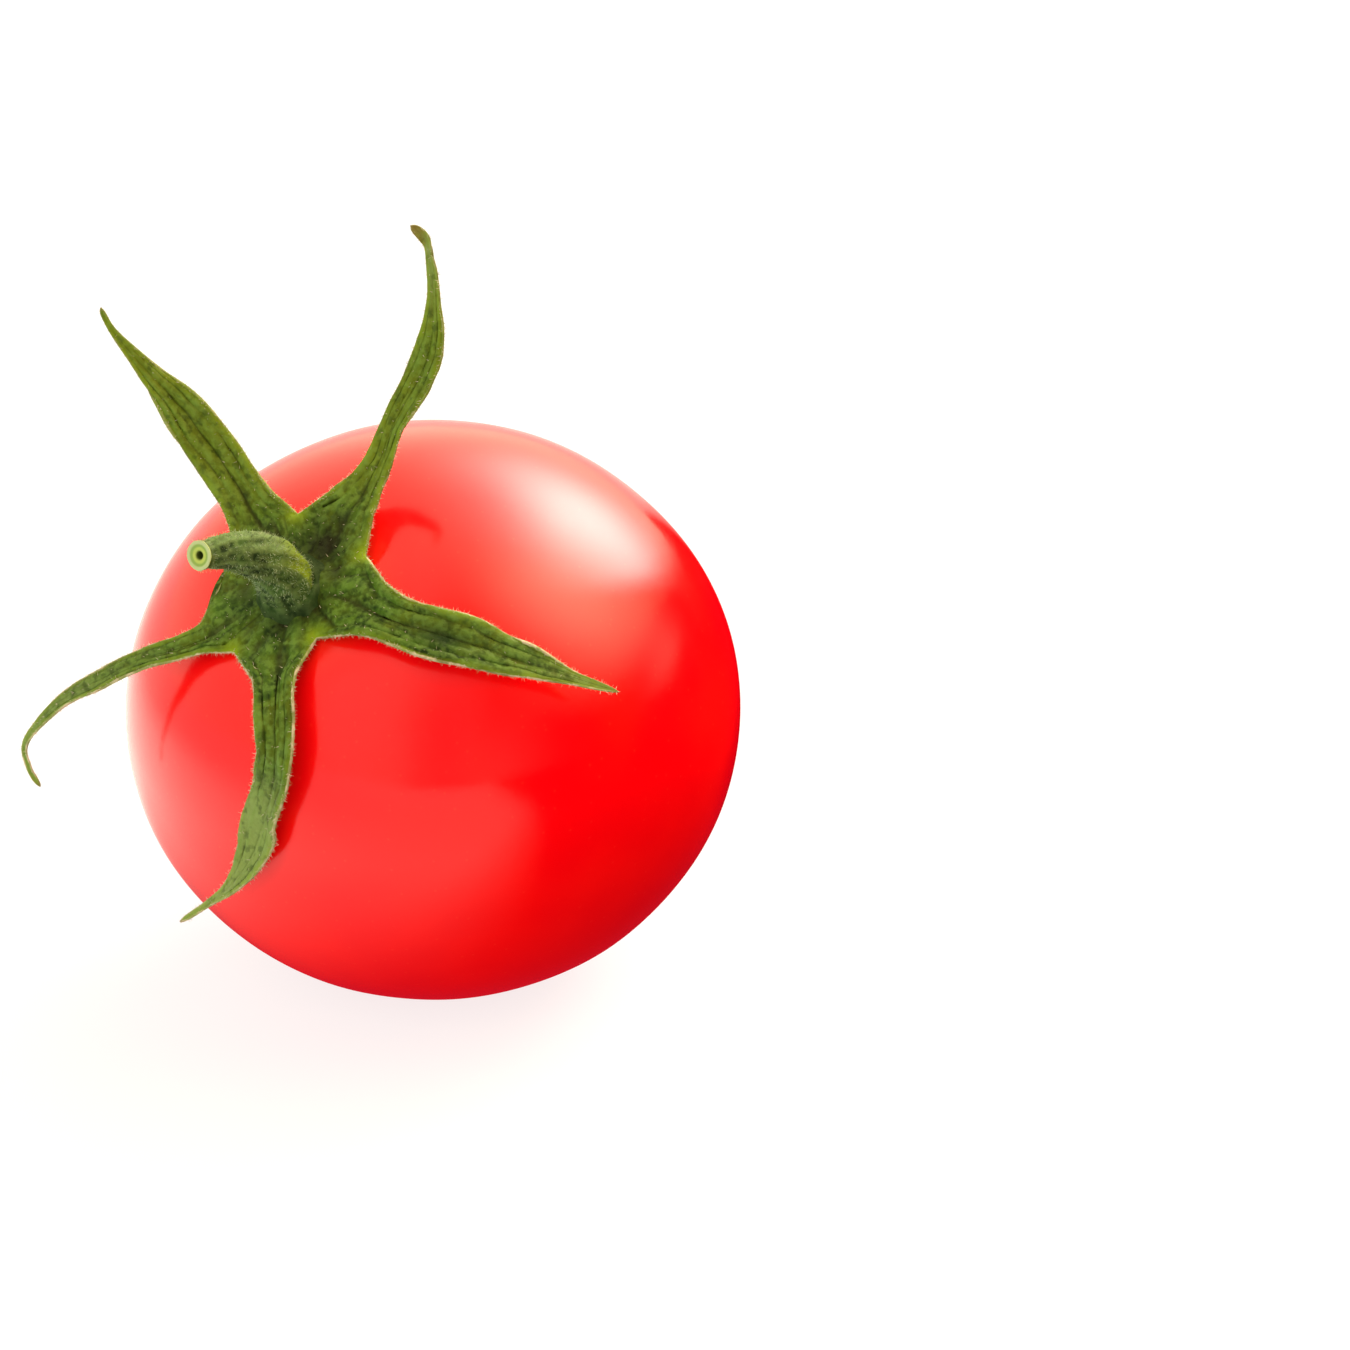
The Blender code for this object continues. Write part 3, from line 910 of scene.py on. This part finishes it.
# Where each sepal is bleached: from and to, in mm along it, and how strongly at the tip.
BLEACHED = ((19, 26, 0.0), (1, 16, 0.42), (7, 15, 0.80), (8, 25, 0.35), (16, 25, 0.68))
# How many rows of each sepal are withered brown towards its tip.
TIP_ROWS = (3, 6, 3, 4, 12)
NOTCH_CORNERS = [calyx_place(reach, heading, NOTCH_LIFT) for reach, heading in NOTCH_PLACES]


def hub_hollows(place):
    """Depth (m) of the hub's hollows at a place, and the strongest share of one there."""
    depth, strongest = 0.0, 0.0
    for reach, heading, size, deep in HOLLOWS:
        gap = (place - calyx_place(reach * MM, math.radians(heading), HUB_LIFT)).length / MM
        share = hump(gap, size)
        depth += share * deep * MM
        strongest = max(strongest, share)
    return depth, strongest


def dark_patch_strength(number, along, across):
    """How strongly a point lies in the darker patch. along is in millimetres."""
    sepal, middle, length, aside, width = DARK_PATCH_PLACE
    return math.exp(-(((along - middle) / length) ** 2) - ((across - aside) / width) ** 2) * (number == sepal)


def point_numbers(number, row, rows, point):
    """A point's share of the full thickness, the depth of its hollow, and its numbers for the paint."""
    place, across, along, half_width, folds = point
    margin = (1 - abs(across)) * half_width if row >= FOOT_ROWS else FOOT_MARGIN
    body = lerp(MARGIN_THICKNESS, 1.0, ease(margin, 0.0, 0.6 * MM))
    body *= lerp(NARROW_THICKNESS, 1.0, ease(half_width, 0.3 * MM, 1.0 * MM))
    depth, hollow = hub_hollows(place)
    start, full, strength = BLEACHED[number]
    return body, depth, {
        "across": across,
        "along": along / MM,
        "margin": margin / MM,
        "sepal": float(number),
        "hub": 1 - ease(row, FOOT_ROWS * 0.4, FOOT_ROWS + 6),
        "fold": folds / FOLD_UNIT,
        "notch": hump(min((place - corner).length for corner in NOTCH_CORNERS), NOTCH_GLOW),
        "dark_patch": dark_patch_strength(number, along / MM, across),
        "hollow": hollow,
        "bleach": strength * ease(along / MM, start, full),
        "tip": ease(row, rows - TIP_ROWS[number], rows),
    }


print("each point carries", len(PAINT_NUMBERS), "numbers")

# %% [markdown]
# ## The calyx: weaving the sheet
# Each sepal becomes a grid of faces, point by point. Points that two feet share are welded, and the round
# gap round the stem's axis is closed with a fan of triangles, so the star is one sheet.

# %% Weave the sheet
def sheet_row(sheet, layers, walls, number, row, rows):
    """One row of the sheet's points, kept off the skin."""
    line = []
    for point in rows[row]:
        body, depth, values = point_numbers(number, row, len(rows), point)
        vertex = sheet.verts.new(above_skin(point[0] - STEM_AXIS * depth, SEPAL_THICKNESS * body))
        vertex[walls][0] = body
        for name, layer in layers.items():
            vertex[layer] = values[name]
        line.append(vertex)
    return line


def calyx_sheet():
    """The star's middle surface, with its numbers for the paint as attributes."""
    sheet = bmesh.new()
    layers = {name: sheet.verts.layers.float.new(name) for name in PAINT_NUMBERS}
    walls = sheet.verts.layers.deform.new()
    before = (NOTCH_PLACES[-1][0], NOTCH_PLACES[-1][1] - math.tau)
    for number, (waypoints, after) in enumerate(zip(SEPALS.values(), NOTCH_PLACES)):
        reach, heading, lift, _ = waypoints[0]
        foot = foot_rows(number, (reach * MM, math.radians(heading), lift * MM), before, after)
        rows = merged_rows(foot, blade_rows(number, waypoints))
        grid = [sheet_row(sheet, layers, walls, number, row, rows) for row in range(len(rows))]
        for low, high in zip(grid, grid[1:]):
            for a, b, c, d in zip(low, low[1:], high[1:], high):
                sheet.faces.new((a, d, c, b))
        before = after
    bmesh.ops.remove_doubles(sheet, verts=sheet.verts, dist=0.002 * MM)
    hub_hole = bmesh.ops.holes_fill(sheet, edges=sheet.edges, sides=len(SEPALS) * SEPAL_COLUMNS)["faces"]
    bmesh.ops.poke(sheet, faces=hub_hole)
    bmesh.ops.recalc_face_normals(sheet, faces=sheet.faces)
    mesh = mesh_of(sheet, "calyx sheet")
    mesh.shade_smooth()
    return mesh


sheet_mesh = calyx_sheet()
print("calyx sheet:", len(sheet_mesh.polygons), "faces")

# %% [markdown]
# ## The calyx: thickness
# The sheet gets its thickness last, half to each side, by the share that each point carries.

# %% Thicken the sheet
def calyx_mesh():
    guide = linked("calyx guide", sheet_mesh)
    guide.vertex_groups.new(name="body")
    wall = guide.modifiers.new("blade thickness", "SOLIDIFY")
    wall.thickness = SEPAL_THICKNESS
    wall.offset = 0
    wall.vertex_group = "body"
    return plain_mesh(guide, "calyx_star")


calyx_shape = calyx_mesh()
print("calyx:", len(calyx_shape.polygons), "faces")

# %% [markdown]
# ## The sepals' finish
# A sepal is matt and dull green, yet full of small differences: yellow-green towards the margin and in the
# notches, bleached and at last brown towards the tips, darker in one patch, and cream on the margin itself,
# where the blade is thin and fringed with hairs. Light and shade are painted in too: painted shade along the
# grooves and in the folds' valleys, painted highlight on the ribs and raised folds, painted light on the two
# upper sepals, and painted shade in the hub round the stem's foot and in its hollows. The woven sheet knows
# where each of these places is, so the paint follows its numbers, coat over coat, and streaky blotches break
# it all up.

# %% Sepal material
LEAF_DARK = (0.008, 0.025, 0.002)
LEAF_MID = (0.044, 0.102, 0.006)
LEAF_PALE = (0.112, 0.212, 0.028)
LEAF_OLIVE = (0.080, 0.118, 0.005)
LEAF_PAINTED_LIGHT = (0.160, 0.215, 0.010)
LEAF_BLEACHED = (0.200, 0.285, 0.075)
HOLLOW_SHADE = (0.008, 0.005, 0.001)
VALLEY_SHADE = (0.020, 0.024, 0.003)
NOTCH_LIME = (0.20, 0.31, 0.008)
MARGIN_CREAM = (0.48, 0.44, 0.27)
TIP_BROWN = (0.15, 0.115, 0.030)
LEAF_GRAIN = 0.05 * MM
LEAF_SHINE = 0.15


def surface_number(tree, name):
    """One of the numbers that the mesh carries for the paint."""
    return node(tree, "ShaderNodeAttribute", attribute_name=name).outputs["Fac"]


def sepal_material():
    material, tree, shader, place = new_material("sepal_leaf")
    across, along, margin, sepal, hub, fold, notch, dark_patch, hollow, bleach, tip = (
        surface_number(tree, name) for name in PAINT_NUMBERS
    )
    lengthwise = node(
        tree, "ShaderNodeCombineXYZ", times(tree, across, 1.7), times(tree, along, 0.22), sepal
    ).outputs[0]
    streaks = pattern(tree, MOTTLE, lengthwise, Scale=3.2, Detail=5.0, Low=0.38, High=0.64)
    blotches = pattern(tree, MOTTLE, place, Scale=330.0, Detail=3.0, Low=0.42, High=0.66)
    grain = pattern(tree, MOTTLE, place, Scale=1900.0, Detail=5.0, Low=0.38, High=0.64)
    pits = pattern(tree, MOTTLE, place, Scale=1300.0, Detail=3.0, Low=0.52, High=0.66)
    tufts = pattern(tree, MOTTLE, place, Scale=950.0, Detail=2.0, Low=0.44, High=0.58)
    # The two upper sepals are the first and the last, so both are two away from the third.
    from_lower = maths(tree, "ABSOLUTE", maths(tree, "SUBTRACT", sepal, 2.0))
    on_upper = maths(tree, "GREATER_THAN", from_lower, 1.5)
    # Painted light: the two upper sepals, which stand off the fruit, are painted lighter from the foot out.
    painted_light_upper = times(tree, on_upper, fade(tree, along, -2.0, 5.0, 0.0, 0.4))
    # Painted shade: darker where the folds sink, along the grooves and between the ribs.
    painted_valley_shade = times(
        tree,
        fade(tree, fold, -0.05, -0.9, 0.0, 0.75),
        fade(tree, bleach, 0.2, 0.8, 1.0, 0.3),
        fade(tree, along, 6.0, 16.0, 1.0, 0.5),
    )
    rough_margin = maths(tree, "MULTIPLY_ADD", grain, 0.10, margin)
    cream = times(
        tree,
        maths(tree, "MULTIPLY_ADD", tufts, 0.7, 0.25),
        fade(tree, rough_margin, 0.16, 0.05),
        fade(tree, on_upper, 0.0, 1.0, 1.0, 0.25),
    )
    colour = painted(tree, mixed(tree, streaks, LEAF_DARK, LEAF_MID), (
        (times(tree, blotches, 0.70), LEAF_OLIVE),
        (times(tree, grain, 0.60), LEAF_PALE),
        (painted_light_upper, LEAF_PAINTED_LIGHT),
        (bleach, LEAF_BLEACHED),
        # Painted highlight where the folds stand up, and painted shade in their valleys.
        (fade(tree, fold, 0.0, 0.9, 0.0, 0.60), LEAF_PALE),
        (painted_valley_shade, VALLEY_SHADE),
        (times(tree, pits, 0.45), LEAF_DARK),
        # Painted shade in the hub, round the stem's foot.
        (fade(tree, hub, 0.70, 1.0, 0.0, 0.34), LEAF_DARK),
        # Painted shade in the hub's hollows.
        (times(tree, hollow, 0.85), HOLLOW_SHADE),
        # Darker in one patch on the right sepal.
        (times(tree, dark_patch, 0.85), LEAF_DARK),
        (times(tree, notch, 0.8), NOTCH_LIME),
        (fade(tree, rough_margin, 0.50, 0.12, 0.0, 0.35), NOTCH_LIME),
        (cream, MARGIN_CREAM),
        (times(tree, tip, 0.8), TIP_BROWN),
    ))
    give(tree, shader, {
        "Base Color": colour,
        "Roughness": fade(tree, grain, 0.0, 1.0, 0.75, 0.55),
        "Normal": bumped(tree, grain, LEAF_GRAIN, 0.8),
        "Specular IOR Level": LEAF_SHINE,
    })
    return material


calyx_star = new_object("calyx_star", calyx_shape, sepal_material())
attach(calyx_star, "root")
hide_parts("calyx")
print("calyx painted by", len(PAINT_NUMBERS), "numbers")

# %% [markdown]
# ## The stem stub
# The stem rises from the hub, bends over to the left and ends where it was cut. It is a tube that follows a
# path, the very thing that Curve to Mesh in geometry nodes does: the path carries a radius at each point,
# the profile is a circle, and a ridge formula pushes the surface in and out along its normals. The stem
# flares at its foot and has a slight neck under its rim.

# %% Route and sizes of the stem
STEM_FOOT_LIFT = 1.2 * MM
# Waypoints: reach (mm), heading (degrees), lift above the foot (mm) and radius (mm).
STEM_ROUTE = (
    (0.8, 165, -0.8, 2.25),
    (0.8, 165, 0.0, 2.2),
    (0.75, 170, 1.0, 2.15),
    (0.5, 205, 2.2, 2.1),
    (0.6, 225, 4.2, 2.0),
    (0.9, 208, 6.1, 1.85),
    (1.4, 186, 7.7, 1.65),
    (2.1, 171, 9.0, 1.4),
    (3.1, 167, 10.2, 1.15),
    (3.75, 169, 11.25, 1.08),
)
STEM_PER_SPAN = 9
STEM_SIDES = 56
STEM_FLARE = 1.0 * MM
STEM_FLARE_LENGTH = 1.3 * MM
STEM_NECK = 0.10 * MM
STEM_NECK_PLACE = 0.95 * MM
STEM_NECK_LENGTH = 0.3 * MM
STEM_RIM_LENGTH = 0.35 * MM
STEM_SIZES = {
    "Ridges": 9.0,
    "Ridge Height": 0.07 * MM,
    "Ridge Twist": 1.6,
    "Bump Height": 0.16 * MM,
    "Bump Scale": 900.0,
}


def stem_line():
    """The stem's centreline as a chain of edges that carries the tube's radius."""
    stations = smooth_route(STEM_ROUTE, STEM_PER_SPAN)
    points = [
        calyx_place(reach * MM, math.radians(heading), STEM_FOOT_LIFT + lift * MM)
        for reach, heading, lift, _ in stations
    ]
    lengths = [0.0]
    for one, other in zip(points, points[1:]):
        lengths.append(lengths[-1] + (other - one).length)
    radii = []
    for length, station in zip(lengths, stations):
        from_end = lengths[-1] - length
        flare = STEM_FLARE * hump(length, STEM_FLARE_LENGTH)
        neck = STEM_NECK * hump(from_end - STEM_NECK_PLACE, STEM_NECK_LENGTH)
        rim = STEM_NECK * hump(from_end, STEM_RIM_LENGTH)
        radii.append(station[3] * MM + flare - neck + rim)
    mesh = bpy.data.meshes.new("stem line")
    mesh.from_pydata(points, [(i, i + 1) for i in range(len(points) - 1)], [])
    mesh.attributes.new("thickness", "FLOAT", "POINT").data.foreach_set("value", radii)
    return mesh, points


stem_path, stem_points = stem_line()
print("stem path:", len(stem_points), "points")

# %% [markdown]
# The tree sweeps the circle along the path. Both carry a share of their length as an attribute, because the
# ridges, and later the paint, have to know where along and around the stem a point is. This tree ends without
# a material, because its tube is still open and is finished in mesh code.

# %% Geometry-node tree of the stem
def carried(tree, name):
    """A number that the points carry under a name."""
    return node(tree, "GeometryNodeInputNamedAttribute", name, data_type="FLOAT").outputs[0]


def stored_share(tree, curve, name):
    """The curve, whose points now carry their share of its length under a name."""
    share = node(tree, "GeometryNodeSplineParameter").outputs["Factor"]
    inputs = {"Geometry": curve, "Name": name, "Value": share}
    stored = node(
        tree, "GeometryNodeStoreNamedAttribute", named=inputs, data_type="FLOAT", domain="POINT"
    )
    return stored.outputs[0]


def ridge_wave(tree, around, along, ridges, twist):
    """A wave from -1 to 1 that runs round the stem, and twists along it."""
    turns = maths(tree, "MULTIPLY_ADD", around, ridges, times(tree, along, twist))
    return maths(tree, "COSINE", times(tree, turns, math.tau))


def stem_tree():
    inputs = [("Geometry", "NodeSocketGeometry", None), *numbers(STEM_SIZES)]
    tree, given, result = new_shape_tree("stem tube", inputs)
    radius = carried(tree, "thickness")
    rail = stored_share(tree, node(tree, "GeometryNodeMeshToCurve", given["Geometry"]).outputs[0], "along")
    circle = node(tree, "GeometryNodeCurvePrimitiveCircle", named={"Resolution": STEM_SIDES, "Radius": 1.0})
    profile = stored_share(tree, circle.outputs[0], "around")
    sweep = {"Curve": rail, "Profile Curve": profile, "Scale": radius}
    tube = node(tree, "GeometryNodeCurveToMesh", named=sweep).outputs[0]
    along = carried(tree, "along")
    ridges = ridge_wave(tree, carried(tree, "around"), along, given["Ridges"], given["Ridge Twist"])
    ridges = times(tree, ridges, given["Ridge Height"], fade(tree, along, 0.98, 0.80, 0.15, 1.0))
    bumps = node(tree, "ShaderNodeTexNoise", named={"Scale": given["Bump Scale"], "Detail": 2.0}).outputs[0]
    bumps = times(tree, maths(tree, "SUBTRACT", bumps, 0.5), given["Bump Height"])
    normal = node(tree, "GeometryNodeInputNormal").outputs[0]
    push = scaled(tree, normal, maths(tree, "ADD", ridges, bumps))
    tube = node(tree, "GeometryNodeSetPosition", named={"Geometry": tube, "Offset": push}).outputs[0]
    made = node(tree, "GeometryNodeRealizeInstances", tube).outputs[0]
    tree.links.new(made, result.inputs[0])
    return tree


stem_tube = grown("stem_tube", stem_tree(), STEM_SIZES, stem_path)
print("stem tube:", len(stem_tube.polygons), "faces,", [layer.name for layer in stem_tube.attributes])

# %% [markdown]
# ## The cut end
# A knife leaves a flat, slightly sunken face. From the outside in it shows a pale skin, a greener ring of
# bundles, a yellowish ring and the hollow pith, which is painted dark as painted shade. Each ring is an inset
# of the end face, and the vertices carry how far out they lie, so that the material can paint the rings.

# %% Close and inset the stem's ends
# Each ring: its size as a share of the rim's, how far it stands out (mm), and its number for the paint.
CUT_RINGS = (
    (0.90, 0.05, 0.92),
    (0.74, 0.02, 0.76),
    (0.56, -0.05, 0.58),
    (0.38, -0.04, 0.40),
    (0.27, -0.12, 0.30),
    (0.20, -0.80, 0.20),
)


def stem_mesh():
    shape = bmesh.new()
    shape.from_mesh(stem_tube)
    cut = shape.verts.layers.float.new("cut")
    ends = bmesh.ops.holes_fill(shape, edges=shape.edges, sides=STEM_SIDES)["faces"]
    cut_end = max(ends, key=lambda face: (face.calc_center_median() - stem_points[0]).length)
    outward = (stem_points[-1] - stem_points[-2]).normalized()
    middle = cut_end.calc_center_median()
    spokes = [vertex.co - middle for vertex in cut_end.verts]
    radius = sum(spoke.length for spoke in spokes) / len(spokes)
    for vertex in cut_end.verts:
        vertex[cut] = 1.0
    for size, push, share in CUT_RINGS:
        bmesh.ops.inset_individual(shape, faces=[cut_end], thickness=0.001 * MM)
        for vertex, spoke in zip(cut_end.verts, spokes):
            vertex.co = middle + spoke.normalized() * radius * size + outward * push * MM
            vertex[cut] = share
    bmesh.ops.recalc_face_normals(shape, faces=shape.faces)
    mesh = mesh_of(shape, "cut_stem")
    mesh.shade_smooth()
    mesh.set_sharp_from_angle(angle=math.radians(50))
    return mesh


stem_shape = stem_mesh()
print("stem:", len(stem_shape.polygons), "faces")

# %% [markdown]
# ## The stem's finish
# The stem is the same green as the sepals' ribs, but velvety: dark below the hairs. Light and shade are
# painted on it too: painted highlight on the ridges' crests, painted light on its upper side, painted shade
# at its foot in the hub, and a yellow-green flank, painted light where light shines through the skin. The cut
# face is painted from the ring numbers, with painted shade in its hollow middle.

# %% Stem material
STEM_DARK = (0.006, 0.020, 0.002)
STEM_MID = (0.034, 0.085, 0.011)
STEM_PALE = (0.135, 0.225, 0.060)
FLANK_LIME = (0.17, 0.27, 0.006)
FLANK_SIDE = Vector((0.86, -0.05, 0.50)).normalized()
UPPER_SIDE = Vector((0.15, 0.35, 0.92)).normalized()
CUT_RIM = (0.36, 0.46, 0.21)
CUT_GREEN = (0.20, 0.32, 0.07)
CUT_YELLOW = (0.34, 0.45, 0.09)
CUT_HOLLOW_SHADE = (0.03, 0.05, 0.004)


def stem_material():
    material, tree, shader, place = new_material("stem_velvet")
    around, along, cut = (surface_number(tree, name) for name in ("around", "along", "cut"))
    crest = ridge_wave(tree, around, along, STEM_SIZES["Ridges"], STEM_SIZES["Ridge Twist"])
    blotches = pattern(tree, MOTTLE, place, Scale=420.0, Detail=3.0, Low=0.36, High=0.66)
    grain = pattern(tree, MOTTLE, place, Scale=1900.0, Detail=4.0, Low=0.36, High=0.66)
    outside = node(tree, "ShaderNodeNewGeometry").outputs["Normal"]
    # Painted light: paler where the stem faces up.
    above = fade(tree, dot(tree, outside, UPPER_SIDE), 0.35, 0.95, 0.0, 0.5)
    flank = times(
        tree,
        fade(tree, dot(tree, outside, FLANK_SIDE), 0.70, 0.95),
        fade(tree, along, 0.55, 0.30),
        fade(tree, along, 0.08, 0.2),
        0.85,
    )
    colour = painted(tree, mixed(tree, blotches, STEM_DARK, STEM_MID), (
        (times(tree, grain, 0.5), STEM_PALE),
        # Painted highlight on the ridges' crests, and painted light on the upper side.
        (fade(tree, crest, -0.2, 1.0, 0.0, 0.35), STEM_PALE),
        (times(tree, above, fade(tree, along, 0.25, 0.5)), STEM_PALE),
        # Painted shade at the stem's foot, where it meets the hub.
        (fade(tree, along, 0.20, 0.06, 0.0, 0.75), STEM_DARK),
        (flank, FLANK_LIME),
        # The cut face under its rings, dark in the middle with painted shade in the hollow pith.
        (maths(tree, "GREATER_THAN", cut, 0.01), CUT_HOLLOW_SHADE),
        (fade(tree, cut, 0.25, 0.42), CUT_YELLOW),
        (fade(tree, cut, 0.5, 0.64), CUT_GREEN),
        (fade(tree, cut, 0.7, 0.84), CUT_RIM),
    ))
    give(tree, shader, {
        "Base Color": colour,
        "Roughness": 0.75,
        "Specular IOR Level": 0.2,
        "Normal": bumped(tree, grain, LEAF_GRAIN, 0.8),
    })
    return material


cut_stem = new_object("cut_stem", stem_shape, stem_material())
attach(cut_stem, "root")
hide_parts("stem")
print("stem painted")

# %% [markdown]
# ## The down on the sepals and the stem
# Tomato plants are covered with short pale hairs. On the blade they are sparse, on the margins they make a
# light fringe, and on the stem they are dense enough to look like velvet. Hairs follow a surface, so a
# geometry-node tree scatters them: points on the faces, a thin three-sided spike on each, turned along the
# surface's normal with some disorder. The spikes are real mesh, because instances would be lost in the
# export.

# %% Geometry-node tree of the down
DOWN_SIZES = {
    "Hair Length": 0.40 * MM,
    "Hair Width": 0.022 * MM,
    "Disorder": 0.75,
    "Per Area": 5e6,
    "Margin Per Area": 0.0,
}


def down_tree():
    inputs = [("Geometry", "NodeSocketGeometry", None), *numbers(DOWN_SIZES)]
    inputs += [("Seed", "NodeSocketInt", 0), ("Hair", "NodeSocketMaterial", None)]
    tree, given, result = new_shape_tree("down", inputs)
    density = times(tree, given["Per Area"], maths(tree, "SUBTRACT", 1.0, carried(tree, "bare"), clamp=True))
    density = maths(tree, "MULTIPLY_ADD", carried(tree, "rim"), given["Margin Per Area"], density)
    where = {"Mesh": given["Geometry"], "Density": density, "Seed": given["Seed"]}
    spots = node(tree, "GeometryNodeDistributePointsOnFaces", named=where).outputs
    cone = {"Vertices": 3, "Side Segments": 2, "Radius Top": 0.0, "Radius Bottom": 1.0, "Depth": 1.0}
    spike = node(tree, "GeometryNodeMeshCone", named=cone).outputs["Mesh"]
    any_way = {"Min": (-1.0, -1.0, -1.0), "Max": (1.0, 1.0, 1.0), "Seed": 11}
    stray = node(tree, "FunctionNodeRandomValue", named=any_way, data_type="FLOAT_VECTOR").outputs[0]
    lean = vectors(tree, "ADD", spots["Normal"], scaled(tree, stray, given["Disorder"]))
    turn = node(tree, "FunctionNodeAlignRotationToVector", named={"Vector": lean}, axis="Z").outputs[0]
    shares = {2: 0.35, 3: 1.0, "Seed": 12}
    share = node(tree, "FunctionNodeRandomValue", named=shares, data_type="FLOAT").outputs[1]
    length = times(tree, given["Hair Length"], share)
    size = node(tree, "ShaderNodeCombineXYZ", given["Hair Width"], given["Hair Width"], length).outputs[0]
    set_out = {"Points": spots["Points"], "Instance": spike, "Rotation": turn, "Scale": size}
    hairs = node(tree, "GeometryNodeInstanceOnPoints", named=set_out).outputs[0]
    tree.links.new(finished(tree, hairs, given["Hair"]), result.inputs[0])
    return tree


down_group = down_tree()
print("down tree has", len(down_group.nodes), "nodes")

# %% [markdown]
# A coat of down also needs its own pale material, and a surface that says where hairs grow and where they
# don't. The surface is a copy, so the finished piece doesn't carry those numbers.

# %% Material and surface for the down
def hair_material(name, dull, light):
    """Pale hair, in slightly different tints from place to place."""
    material, tree, shader, place = new_material(name)
    tint = pattern(tree, MOTTLE, place, Scale=1400.0, Detail=1.0, Low=0.35, High=0.65)
    give(tree, shader, {
        "Base Color": mixed(tree, tint, dull, light),
        "Roughness": 0.5,
        "Specular IOR Level": 0.3,
    })
    return material


def surface_for_down(mesh, bare, rim):
    """A copy of a mesh that says where hairs grow: bare and rim are rules for one vertex's numbers."""
    copy = mesh.copy()
    for name, rule in (("bare", bare), ("rim", rim)):
        layer = copy.attributes.new(name, "FLOAT", "POINT")
        layer.data.foreach_set("value", [rule(index) for index in range(len(copy.vertices))])
    return copy


def surface_numbers(mesh, name):
    return [value.value for value in mesh.attributes[name].data]


print("the sheet's margin is known at", len(surface_numbers(calyx_shape, "margin")), "points")

# %% [markdown]
# ## Growing the down
# The same tree makes both coats, each with its own values. The sepals' fringe grows from the thin wall of
# the margin, where the distance to the margin is nought. The stem is bare on its cut face and down in the
# hub.

# %% Hairs on the sepals and on the stem
sepal_margin = surface_numbers(calyx_shape, "margin")
sepal_fringe = surface_for_down(
    calyx_shape, lambda index: 0.0, lambda index: 1.0 if sepal_margin[index] < 0.001 else 0.0
)
sepal_down = {
    **DOWN_SIZES, "Per Area": 0.9e6, "Margin Per Area": 3.0e7, "Seed": 3,
    "Hair": hair_material("sepal_down", (0.22, 0.26, 0.11), (0.72, 0.68, 0.50)),
}
sepal_hair_mesh = grown("sepal_hairs", down_group, sepal_down, sepal_fringe)
sepal_hairs = new_object("sepal_hairs", sepal_hair_mesh, sepal_down["Hair"])
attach(sepal_hairs, "root")

stem_cut = surface_numbers(stem_shape, "cut")
stem_along = surface_numbers(stem_shape, "along")
stem_coat = surface_for_down(
    stem_shape,
    lambda index: 1.0 if stem_cut[index] > 0 else 1 - ease(stem_along[index], 0.05, 0.22),
    lambda index: 0.0,
)
stem_down = {
    **DOWN_SIZES, "Per Area": 1.4e7, "Hair Length": 0.45 * MM, "Seed": 5,
    "Hair": hair_material("stem_down", (0.05, 0.11, 0.025), (0.36, 0.48, 0.25)),
}
stem_hair_mesh = grown("stem_hairs", down_group, stem_down, stem_coat)
stem_hairs = new_object("stem_hairs", stem_hair_mesh, stem_down["Hair"])
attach(stem_hairs, "root")
print("hairs:", len(sepal_hairs.data.polygons), "and", len(stem_hairs.data.polygons), "faces")
